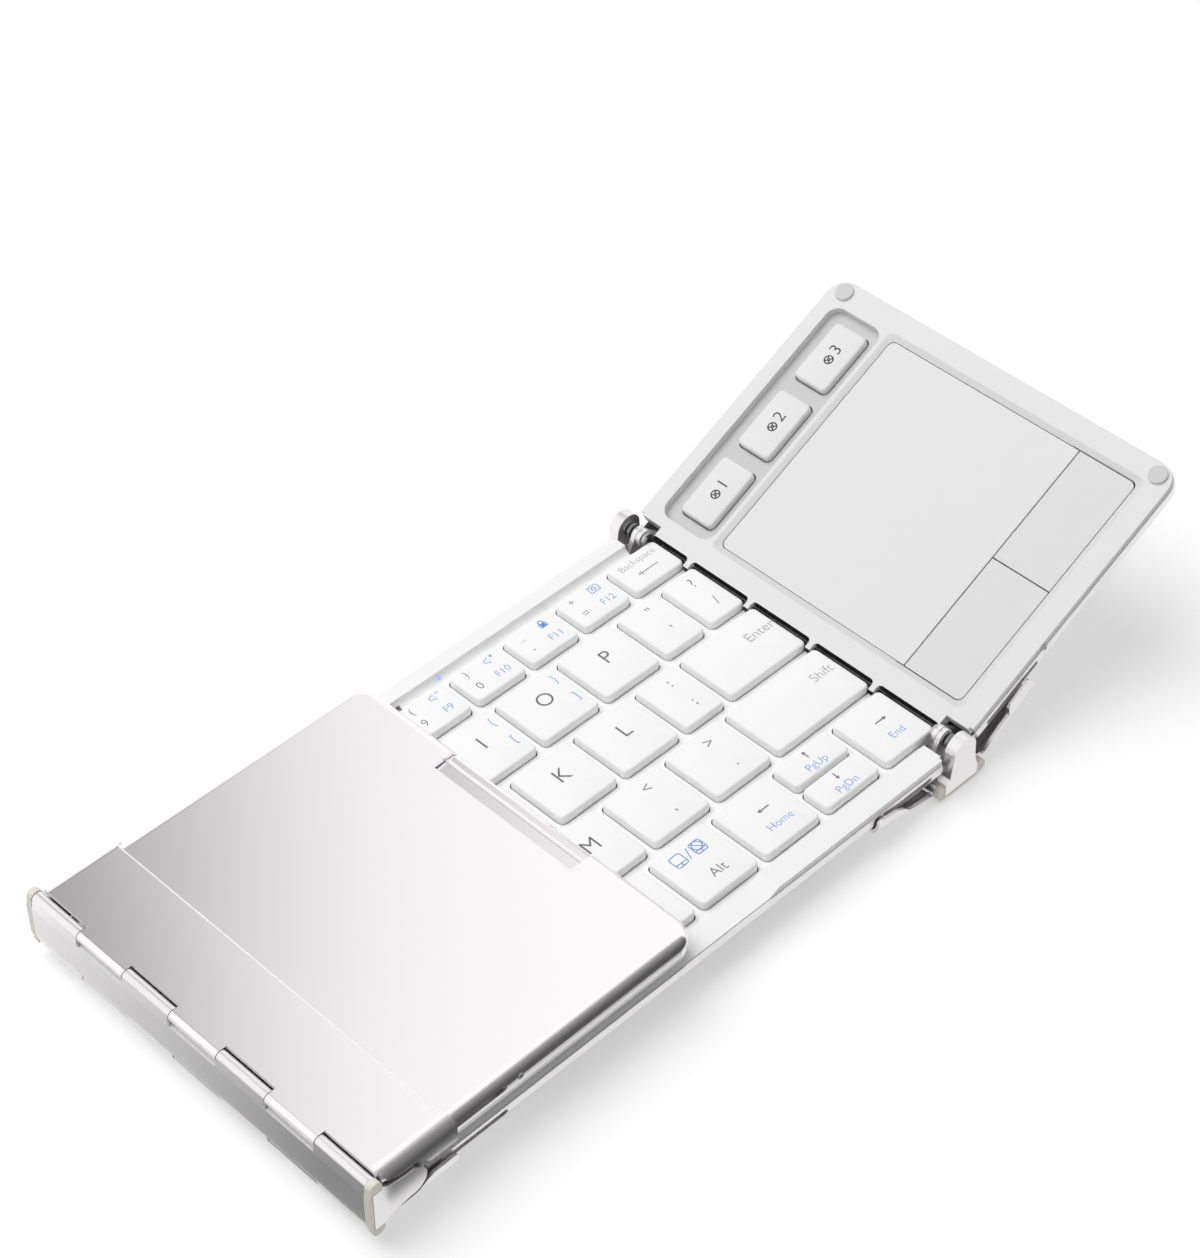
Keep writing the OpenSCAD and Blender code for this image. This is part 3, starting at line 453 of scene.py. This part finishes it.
def model_cap(width, depth, top, skirt):
    """One key cap with its corner at the origin: round corners, a chamfer round the flat top."""
    size = (round(width, 3), round(depth, 3), top)
    if size in cap_store:
        copy = cap_store[size].copy()
        copy.data = cap_store[size].data.copy()
        bpy.context.scene.collection.objects.link(copy)
        return copy
    cap = box((0, 0, skirt), (width, depth, top - CHAMFER_UP), "cap")
    bpy.ops.object.mode_set(mode="EDIT")
    pick_edges(cap, upright)
    round_edges(KEY_CORNER, 6)
    pick_faces(cap, lambda centre, normal: normal.z > 0.9)
    bpy.ops.mesh.inset(thickness=CHAMFER_IN * MM, depth=CHAMFER_UP * MM)
    rim = top - CHAMFER_UP - 0.01
    pick_edges(cap, lambda a, b: a.z > rim and b.z > rim and abs(a.z - b.z) < SAME)
    round_edges(CHAMFER_ROUND, 2)
    bpy.ops.object.mode_set(mode="OBJECT")
    cap.data.materials.append(WHITE)
    smooth(cap, 40)
    store = cap.copy()
    store.data = cap.data.copy()
    cap_store[size] = store
    return cap


def print_mark(mark, x, y, width, depth, top):
    kind, value, across, up, size, ink = mark
    if kind == "text":
        piece = text_mark(value, size, ink)
    else:
        piece = stroke_mark(ICONS[value], ICON_WIDTH.get(value, size), ink)
    piece.location = Vector((x + across * width, y + up * depth, top + INK_LIFT)) * MM
    settle(piece)
    return piece


def model_key(x, y, width, depth, marks, place, top=KEY_TOP, skirt=KEY_SKIRT):
    cap = model_cap(width, depth, top, skirt)
    cap.location = Vector((x, y, 0)) * MM
    settle(cap)
    parts = [cap] + [print_mark(mark, x, y, width, depth, top) for mark in marks]
    key = join(parts, "key")
    settle(key, place)
    return key


def key_node(node, body, keys, place, mirrored=False):
    """Models every key of one CAD node and lets the piece stand for it."""
    made = []
    for row, x, width, marks in keys:
        y, depth = ROWS[row]
        made.append(model_key(-x - width if mirrored else x, y, width, depth, marks, place))
    piece = join(made, node + "_cap")
    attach(piece, body)
    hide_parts(node)


SINGLE_KEYS = {
    "key_0": (4, FIGURE_X, FIGURE_W, figure(")", "0", "louder", "10")),
    "key_minus": (4, FIGURE_X + FIGURE_PITCH, FIGURE_W, figure("_", "-", "lock", "11")),
    "key_equals": (4, FIGURE_X + 2 * FIGURE_PITCH, FIGURE_W, figure("+", "=", "screen", "12")),
    "key_backspace": (4, RIGHT_END - BACKSPACE_W, BACKSPACE_W,
                      word("Backspace", 0.5, 0.76, 2.5, "pale")
                      + [("icon", "long_left", 0.5, 0.4, 0.3, "pale")]),
    "key_o": (3, UPPER_X, KEY_W, letter_with("O", "}", "]")),
    "key_p": (3, UPPER_X + KEY_PITCH, KEY_W, letter("P")),
    "key_quote": (3, UPPER_X + 2 * KEY_PITCH, 11.2, pair('"', "'")),
    "key_slash": (3, SLASH_X, RIGHT_END - SLASH_X, pair("?", "/")),
    "key_k": (2, HOME_X, KEY_W, letter("K")),
    "key_l": (2, HOME_X + KEY_PITCH, KEY_W, letter("L")),
    "key_semicolon": (2, HOME_X + 2 * KEY_PITCH, 11.1, pair(":", ";")),
    "key_enter": (2, ENTER_X, RIGHT_END - ENTER_X, word("Enter", 0.80, 0.6, 3.6, "pale")),
    "key_comma": (1, LOWER_X, KEY_W, pair("<", ",")),
    "key_period": (1, LOWER_X + KEY_PITCH, KEY_W, pair(">", ".")),
    "key_shift": (1, LOWER_X + 2 * KEY_PITCH, RIGHT_END - LOWER_X - 2 * KEY_PITCH,
                  word("Shift", 0.83, 0.6, 3.4, "pale")),
    "key_alt": (0, FRONT_X, KEY_W, [("icon", "touch_switch", 0.47, 0.74, 0.24, "blue"),
                                    ("text", "Alt", 0.55, 0.29, 3.4, "ink")]),
    "key_arrow_left": (0, FRONT_X + KEY_PITCH, KEY_W, arrow_word("left", "Home")),
    "key_arrow_up": (5, FRONT_X + 2 * KEY_PITCH, KEY_W, arrow_word("up", "PgUp", 0.5, 0.72, 0.28)),
    "key_arrow_down": (6, FRONT_X + 2 * KEY_PITCH, KEY_W, arrow_word("down", "PgDn", 0.5, 0.72, 0.28)),
    "key_arrow_right": (0, FRONT_X + 3 * KEY_PITCH, RIGHT_END - FRONT_X - 3 * KEY_PITCH,
                        arrow_word("right", "End")),
}
for name, key in SINGLE_KEYS.items():
    key_node(name, name, [key], CENTRE)

REAR_FIGURES = [figure("(", "9", "quieter", "9"), figure("*", "8", "next", "8"),
                figure("&", "7", "play", "7"), figure("^", "6", "previous", "6"),
                figure("%", "5", "pages", "5")]
REAR_LETTERS = [letter_with("I", "{", "["), letter("U"), letter("Y"), letter("T"), letter("R")]
key_node("centre_keys_rear", "centre_keys_rear",
         [(4, FIGURE_X - (i + 1) * FIGURE_PITCH, FIGURE_W, marks) for i, marks in enumerate(REAR_FIGURES)]
         + [(3, UPPER_X - (i + 1) * KEY_PITCH, KEY_W, marks) for i, marks in enumerate(REAR_LETTERS)],
         CENTRE)
F_WIDTH = HOME_X - 3 * KEY_PITCH - LEFT_END - KEY_GAP
C_WIDTH = LOWER_X - 4 * KEY_PITCH - LEFT_END - KEY_GAP
key_node("centre_keys_middle", "centre_keys_middle",
         [(2, HOME_X - (i + 1) * KEY_PITCH, KEY_W, letter(sign)) for i, sign in enumerate("JHG")]
         + [(2, LEFT_END, F_WIDTH, letter("F")), (1, LEFT_END, C_WIDTH, letter("C"))]
         + [(1, LOWER_X - (i + 1) * KEY_PITCH, KEY_W, letter(sign)) for i, sign in enumerate("MNBV")],
         CENTRE)
key_node("space_bars", "space_bars", [(0, -27.6, 34.1, []), (0, LEFT_END, 43.4, [])], CENTRE)

LEFT_FIGURES = [figure("$", "4", "find", "4"), figure("#", "3", "pages", "3"),
                figure("@", "2", "find", "2"), figure("!", "1", "screen", "1")]
key_node("left_keys_rear", "left_keys_rear",
         [(4, WING_X + i * FIGURE_PITCH, FIGURE_W, marks) for i, marks in enumerate(LEFT_FIGURES)]
         + [(3, WING_X + i * KEY_PITCH, KEY_W, letter(sign)) for i, sign in enumerate("EWQ")]
         + [(3, WING_X + 3 * KEY_PITCH, 12.0, word("Tab", 0.5, 0.6, 2.9))], LEFT_WING, True)
key_node("left_keys_middle", "left_keys_middle",
         [(2, WING_X, 11.3, letter("D")), (2, 16, KEY_W, letter("S")),
          (2, 16 + KEY_PITCH, KEY_W, letter("A")),
          (2, 16 + 2 * KEY_PITCH, 16.3, word("Caps", 0.5, 0.6, 3.2)), (1, WING_X, 15.4, letter("X")),
          (1, 20.1, KEY_W, letter("Z")), (1, 37.8, 29.9, word("Shift", 0.2, 0.6, 3.4))], LEFT_WING, True)
key_node("left_keys_front", "left_keys_front",
         [(0, WING_X, 15.4, word("Alt")), (0, 20.1, 13.4, word("Fn", ink="blue")),
          (0, 35.6, 13.4, word("Ctrl")), (0, 51.1, 16.6, word("Esc"))], LEFT_WING, True)

DEVICE_W, DEVICE_D = 15.5, 9.0
DEVICE_X, DEVICE_PITCH = 9.9, 19.5
RECESS_MIDDLE = 35.6
DEVICE_Y = RECESS_MIDDLE - DEVICE_D / 2
for number in (1, 2, 3):
    name = f"device_key_{number}"
    marks = [("icon", "device", 0.45, 0.48, 0.3, "black"), ("text", str(number), 0.63, 0.5, 4.2, "black")]
    cap = model_key(DEVICE_X + (number - 1) * DEVICE_PITCH, DEVICE_Y, DEVICE_W, DEVICE_D, marks,
                    RIGHT_WING, DEVICE_TOP)
    cap.name = name + "_cap"
    cap.data.materials[0] = DEVICE_WHITE
    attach(cap, name)
    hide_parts(name)

for store in cap_store.values():
    bpy.data.objects.remove(store)


# ---------- housings, hinges and small parts: the CAD shapes with their edges softened ----------

def body_of(node):
    for body, members in frame["record"]["behaviour"]["bodies"].items():
        if node in members:
            return body
    raise KeyError(node)


def flatten_shading(piece):
    """Keeps large flat faces evenly shaded beside their rounded edges."""
    use(piece)
    weights = piece.modifiers.new("even_shading", "WEIGHTED_NORMAL")
    weights.mode = "FACE_AREA"
    weights.keep_sharp = True
    bpy.ops.object.modifier_apply(modifier="even_shading")


EDGE_ANGLE = 30           # edges that turn by more than this many degrees are rounded
SMOOTH_ANGLE = 38
SMOOTH_ANGLES = {"right_deck": 16}    # keeps the slope round the pad apart from the frame's top


def soften(node, width, material):
    """A copy of a CAD node with its sharp edges rounded by this width."""
    piece = nodes[node].copy()
    piece.data = nodes[node].data.copy()
    piece.parent = None
    piece.matrix_world = Matrix.Identity(4)
    bpy.context.scene.collection.objects.link(piece)
    piece.name = node + "_finished"
    use(piece)
    bpy.ops.object.mode_set(mode="EDIT")
    bpy.ops.mesh.select_all(action="SELECT")
    bpy.ops.mesh.remove_doubles(threshold=0.000002)
    bpy.ops.mesh.dissolve_limited(angle_limit=math.radians(0.4))
    bpy.ops.object.mode_set(mode="OBJECT")
    if node in SHAPED_FIRST:
        SHAPED_FIRST[node](piece)
    rounding = piece.modifiers.new("rounding", "BEVEL")
    rounding.width = width * MM
    rounding.segments = 2
    rounding.limit_method = "ANGLE"
    rounding.angle_limit = math.radians(EDGE_ANGLE)
    rounding.use_clamp_overlap = True
    rounding.miter_outer = "MITER_ARC"
    bpy.ops.object.modifier_apply(modifier="rounding")
    piece.data.materials.clear()
    piece.data.materials.append(material)
    smooth(piece, SMOOTH_ANGLES.get(node, SMOOTH_ANGLE))
    flatten_shading(piece)
    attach(piece, body_of(node))
    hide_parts(node)
    return piece


def repaint(piece, material, place, test):
    """Gives the faces that pass the test, in a panel's own coordinates, another finish."""
    piece.data.materials.append(material)
    back = place.inverted()
    turn = back.to_3x3()
    for face in piece.data.polygons:
        if test(back @ face.center / MM, turn @ face.normal):
            face.material_index = len(piece.data.materials) - 1


# The slope round the touchpad, in the right wing's coordinates: its foot follows the opening between
# PAD_LOW and PAD_HIGH at RIM_FOOT, and it has run out by RIM_OUT at RIM_TOP
PAD_LOW = (8.05, -40.55)
PAD_HIGH = (67.15, 26.55)
PAD_CORNER = 1.5
RIM_FOOT = -1.05
RIM_TOP = 0.3
RIM_OUT = 3.4

# Top and free end of the left wing's sleeve, at rest
SLEEVE_TOP = 17.3
SLEEVE_END = -64.3
SLEEVE_ROUND = 0.5


def slope_pad_rim(piece):
    """Cuts the wide slope of the photo into the edge round the touchpad."""
    cutter = box((PAD_LOW[0], PAD_LOW[1], RIM_FOOT), (PAD_HIGH[0], PAD_HIGH[1], RIM_TOP), "rim_cutter")
    bpy.ops.object.mode_set(mode="EDIT")
    pick_edges(cutter, upright)
    round_edges(PAD_CORNER, 6)
    pick_faces(cutter, lambda centre, normal: normal.z > 0.9)
    spread = [1 + 2 * RIM_OUT / (high - low) for low, high in zip(PAD_LOW, PAD_HIGH)]
    bpy.ops.transform.resize(value=spread + [1])
    bpy.ops.object.mode_set(mode="OBJECT")
    settle(cutter, RIGHT_WING)
    cut = piece.modifiers.new("pad_rim", "BOOLEAN")
    cut.operation = "DIFFERENCE"
    cut.solver = "EXACT"
    cut.object = cutter
    use(piece)
    bpy.ops.object.modifier_apply(modifier="pad_rim")
    bpy.data.objects.remove(cutter)


def round_sleeve_end(piece):
    """Rounds the upper edge at the free end of the left wing's sleeve."""
    use(piece)
    bpy.ops.object.mode_set(mode="EDIT")
    pick_edges(piece, lambda a, b: min(a.z, b.z) > SLEEVE_TOP - 0.05 and min(a.x, b.x) > SLEEVE_END - 0.5
               and abs(a.x - b.x) < SAME)
    round_edges(SLEEVE_ROUND, 2, clamp=False)
    bpy.ops.object.mode_set(mode="OBJECT")


SHAPED_FIRST = {"right_deck": slope_pad_rim, "left_sleeve_wing": round_sleeve_end}

SOFTENED = [
    ("base_tray", 0.12, SILVER), ("left_tray", 0.15, PANEL_SILVER), ("right_tray", 0.15, SILVER),
    ("key_deck", 0.22, DECK_WHITE), ("left_deck", 0.25, DECK_WHITE), ("right_deck", 0.4, FRAME_WHITE),
    ("touchpad", 0.08, TOUCH), ("click_button_left", 0.1, BUTTON), ("click_button_right", 0.1, BUTTON),
    ("left_spine", 0.12, SILVER), ("right_spine", 0.12, SILVER),
    ("left_sleeve_base", 0.12, SILVER), ("left_sleeve_wing", 0.12, PANEL_SILVER),
    ("right_sleeve_base", 0.12, SILVER), ("right_sleeve_wing", 0.12, SILVER),
    ("left_end_caps", 0.15, IVORY), ("right_end_caps", 0.15, IVORY),
    ("rubber_bumpers", 0.25, RUBBER), ("base_feet", 0.5, FOOT_RUBBER), ("charge_port", 0.06, STEEL),
]
finished = {node: soften(node, width, material) for node, width, material in SOFTENED}

# The finger scoop is as bright as the panel's back. Painted light: the free edge of the sleeve, and its
# shaded slots at the spine end, get a near-white finish. Painted shade: the gap at the ends of the keys is
# near black, and the slope round the touchpad and the floor of the device keys' recess are a darker grey
repaint(finished["left_deck"], PANEL_SILVER, Matrix.Identity(4),
        lambda spot, up: -7.3 < spot.x < 0 and abs(spot.y) < 19.6 and up.z > 0.3)
# painted highlight on the sleeve's free edge, and painted light in the shaded slots at its spine end
repaint(finished["left_sleeve_wing"], EDGE, Matrix.Identity(4),
        lambda spot, up: spot.z > 16 and (up.x > 0.3 and up.z > -0.1 or up.x < -0.9 and spot.x < -81))
# painted shade on the frame's end wall in the gap at the key ends
repaint(finished["right_deck"], PAINTED_DEEP_SHADE, RIGHT_WING, lambda spot, up: spot.x < 2.4 and up.x < -0.5)
# painted shade on the slope round the touchpad
repaint(finished["right_deck"], PAD_SLOPE_SHADE, RIGHT_WING,
        lambda spot, up: 0.85 < up.z < 0.97 and spot.z < -0.5
        and PAD_LOW[0] - 2 < spot.x < PAD_HIGH[0] + 2 and PAD_LOW[1] - 2 < spot.y < PAD_HIGH[1] + 2)
# painted shade on the floor of the device keys' recess
repaint(finished["right_deck"], RECESS_FLOOR_SHADE, RIGHT_WING,
        lambda spot, up: abs(spot.z + 2.3) < 0.05 and up.z > 0.9)
# painted shade on the tray's floor in the gap at the key ends
repaint(finished["right_tray"], PAINTED_DEEP_SHADE, RIGHT_WING,
        lambda spot, up: -4.7 < spot.z < -3.6 and abs(spot.y) < HALF_DEPTH - 1 and up.z > 0.9)

KEPT = {"base_board": BOARD, "left_board": BOARD, "touch_board": BOARD, "battery": CELL,
        "indicator_lens": LAMP, "left_knuckle_rods": STEEL, "right_knuckle_rods": STEEL,
        "left_pivot_pins": STEEL, "right_pivot_pins": STEEL, "left_spring_washers": DARK_STEEL,
        "right_spring_washers": DARK_STEEL}
for node, material in KEPT.items():
    nodes[node].data.materials.clear()
    nodes[node].data.materials.append(material)
    use(nodes[node])


SCREW_RADIUS, SCREW_HEAD = 0.75, 0.3
SCREW_SUNK = 0.1          # how far the middle of the head lies inside the tray's side
CROSS_LONG, CROSS_WIDE = 0.95, 0.2
CROSS_FOOT, CROSS_TOP = 0.12, 0.16


def side_screw(name, node, place, x, z, side):
    """A small cross-head screw in the front (side -1) or rear (side 1) wall of a panel."""
    deselect()
    bpy.ops.mesh.primitive_cylinder_add(vertices=24, radius=SCREW_RADIUS * MM, depth=SCREW_HEAD * MM,
                                        rotation=(math.pi / 2, 0, 0))
    head = bpy.context.object
    head.data.materials.append(STEEL)
    settle(head)
    smooth(head)
    arms = []
    # the cross recess is two near-black slabs on the head: painted shade
    for wide, tall in ((CROSS_LONG, CROSS_WIDE), (CROSS_WIDE, CROSS_LONG)):
        arm = box((-wide / 2, CROSS_FOOT if side > 0 else -CROSS_TOP, -tall / 2),
                  (wide / 2, CROSS_TOP if side > 0 else -CROSS_FOOT, tall / 2), "arm")
        arm.data.materials.append(PAINTED_DEEP_SHADE)
        arms.append(arm)
    screw = join([head] + arms, name)
    screw.location = Vector((x, side * (HALF_DEPTH - SCREW_SUNK), z)) * MM
    settle(screw, place)
    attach(screw, body_of(node))


for side, end in ((-1, "front"), (1, "rear")):
    side_screw("left_screw_" + end, "left_tray", LEFT_WING, -28.05, -3.44, side)
    side_screw("right_screw_" + end, "right_tray", RIGHT_WING, 27.5, -2.0, side)


# ---------- floor, light and camera ----------

# Levels that give the tones of the photo
FLOOR_TONE = 0.72
FLOOR_GLOW = 0.36         # added where the camera or the metal sees the floor
STUDIO_LEVEL = 0.39       # light that the white studio sheds on the object

# The photo's camera: directions in the shared frame, its place in metres and its lens in pixels
VIEW_RIGHT = (0.70873, -0.70547, -0.00244)
VIEW_DOWN = (-0.48846, -0.48821, -0.72323)
VIEW_AHEAD = (0.50903, 0.51376, -0.69061)
VIEW_FROM = (-0.2914, -0.3146, 0.4710)
LENS_PIXELS = 3195.0
FRAME_PIXELS = 1258.0
SENSOR = 36.0


def stage_floor():
    deselect()
    bpy.ops.mesh.primitive_plane_add(size=6, location=(0, 0, -0.00005))
    floor = bpy.context.object
    floor.name = "floor"
    material = bpy.data.materials.new("pale_floor")
    material.use_nodes = True
    tree = material.node_tree
    shader = tree.nodes["Principled BSDF"]
    shader.inputs["Base Color"].default_value = (FLOOR_TONE, FLOOR_TONE, FLOOR_TONE, 1)
    shader.inputs["Roughness"].default_value = 0.9
    shader.inputs["Specular IOR Level"].default_value = 0.0
    light = tree.nodes.new("ShaderNodeLightPath")
    glow = tree.nodes.new("ShaderNodeMath")
    glow.operation = "MULTIPLY"
    glow.inputs[1].default_value = FLOOR_GLOW
    either = tree.nodes.new("ShaderNodeMath")
    either.operation = "MAXIMUM"
    tree.links.new(light.outputs["Is Camera Ray"], either.inputs[0])
    tree.links.new(light.outputs["Is Glossy Ray"], either.inputs[1])
    tree.links.new(either.outputs[0], glow.inputs[0])
    shader.inputs["Emission Color"].default_value = (1, 1, 1, 1)
    tree.links.new(glow.outputs[0], shader.inputs["Emission Strength"])
    floor.data.materials.append(material)


def light_world():
    """Even white studio: camera rays see plain white, metal sees white with two grey screens."""
    world = bpy.data.worlds.new("studio")
    bpy.context.scene.world = world
    world.use_nodes = True
    tree = world.node_tree
    tree.nodes.clear()
    add, link = tree.nodes.new, tree.links.new
    out, place = add("ShaderNodeOutputWorld"), add("ShaderNodeTexCoord")

    def screen(towards, edge, middle, darkest, brightest):
        """A round grey screen in the sky; edge and middle are in degrees from where it hangs."""
        side = add("ShaderNodeVectorMath")
        side.operation = "DOT_PRODUCT"
        side.inputs[1].default_value = Vector(towards).normalized()
        link(place.outputs["Generated"], side.inputs[0])
        level = add("ShaderNodeMapRange")
        level.interpolation_type = "SMOOTHSTEP"
        for name, value in (("From Min", math.cos(math.radians(edge))),
                            ("From Max", math.cos(math.radians(middle))), ("To Min", brightest),
                            ("To Max", darkest)):
            level.inputs[name].default_value = value
        link(side.outputs["Value"], level.inputs["Value"])
        return level.outputs["Result"]

    seen = add("ShaderNodeMath")
    seen.operation = "MULTIPLY"
    # One screen greys the rear left of the flat panels, the other the round front edges
    link(screen((0.20, 0.68, 0.70), 16.0, 9.5, 0.22, 1.10), seen.inputs[0])
    link(screen((0.51, -0.84, 0.20), 30, 15, 0.2, 1.0), seen.inputs[1])
    path = add("ShaderNodeLightPath")
    level = add("ShaderNodeMix")
    level.data_type = "FLOAT"
    level.inputs["A"].default_value = STUDIO_LEVEL
    link(path.outputs["Is Glossy Ray"], level.inputs["Factor"])
    link(seen.outputs[0], level.inputs["B"])
    camera_level = add("ShaderNodeMix")
    camera_level.data_type = "FLOAT"
    camera_level.inputs["B"].default_value = 1.0
    link(path.outputs["Is Camera Ray"], camera_level.inputs["Factor"])
    link(level.outputs["Result"], camera_level.inputs["A"])
    background = add("ShaderNodeBackground")
    background.inputs["Color"].default_value = (1, 1, 1, 1)
    link(camera_level.outputs["Result"], background.inputs["Strength"])
    link(background.outputs[0], out.inputs["Surface"])


def soft_box(name, place, target, size, watts):
    lamp = bpy.data.lights.new(name, "AREA")
    lamp.shape = "SQUARE"
    lamp.size = size
    lamp.energy = watts
    piece = bpy.data.objects.new(name, lamp)
    bpy.context.scene.collection.objects.link(piece)
    piece.location = place
    piece.visible_glossy = False
    piece.rotation_euler = (Vector(target) - Vector(place)).to_track_quat("-Z", "Y").to_euler()


def reflection_card(name, corners, along, span, levels):
    """A grey card that only the metal sees, shaded from one level to another along X, Y or Z."""
    mesh = bpy.data.meshes.new(name)
    mesh.from_pydata([Vector(corner) * MM for corner in corners], [], [(0, 1, 2, 3)])
    card = bpy.data.objects.new(name, mesh)
    bpy.context.scene.collection.objects.link(card)
    for ray in ("camera", "diffuse", "transmission", "volume_scatter", "shadow"):
        setattr(card, "visible_" + ray, False)
    material = bpy.data.materials.new(name)
    material.use_nodes = True
    tree = material.node_tree
    tree.nodes.clear()
    add, link = tree.nodes.new, tree.links.new
    place, parts, level = add("ShaderNodeTexCoord"), add("ShaderNodeSeparateXYZ"), add("ShaderNodeMapRange")
    light, out = add("ShaderNodeEmission"), add("ShaderNodeOutputMaterial")
    for end, value in zip(("From Min", "From Max", "To Min", "To Max"), (*span, *levels)):
        level.inputs[end].default_value = value
    link(place.outputs["Object"], parts.inputs[0])
    link(parts.outputs[along], level.inputs["Value"])
    link(level.outputs["Result"], light.inputs["Strength"])
    link(light.outputs[0], out.inputs["Surface"])
    mesh.materials.append(material)


def photo_camera():
    """The view of the photo, from a camera fitted to the straight edges of the three panels."""
    camera = bpy.data.cameras.new("photo_camera")
    camera.sensor_width = SENSOR
    camera.lens = LENS_PIXELS / FRAME_PIXELS * SENSOR
    camera.clip_start = 0.02
    piece = bpy.data.objects.new("photo_camera", camera)
    bpy.context.scene.collection.objects.link(piece)
    turn = Matrix((Vector(VIEW_RIGHT), -Vector(VIEW_DOWN), -Vector(VIEW_AHEAD))).transposed().to_4x4()
    piece.matrix_world = Matrix.Translation(VIEW_FROM) @ turn
    bpy.context.scene.camera = piece


stage_floor()
light_world()
reflection_card("front_card", [(-79, -52, 5.4), (11, -52, 5.4), (11, -52, 60), (-79, -52, 60)],
                "Z", (0.014, 0.045), (0.09, 1.0))
reflection_card("floor_card", [(-86, -90, 0.3), (150, -90, 0.3), (150, -48.7, 0.3), (-86, -48.7, 0.3)],
                "X", (-0.1, 0.2), (0.92, 0.92))
reflection_card("side_card", [(-150, -120, 0.3), (-86.5, -120, 0.3), (-86.5, 60, 0.3), (-150, 60, 0.3)],
                "Y", (-0.03, 0.06), (0.27, 0.95))
soft_box("key_light", (-0.20, 0.50, 1.10), (0, 0, 0), 1.2, 13.0)
photo_camera()
bpy.context.scene.view_settings.view_transform = "Standard"
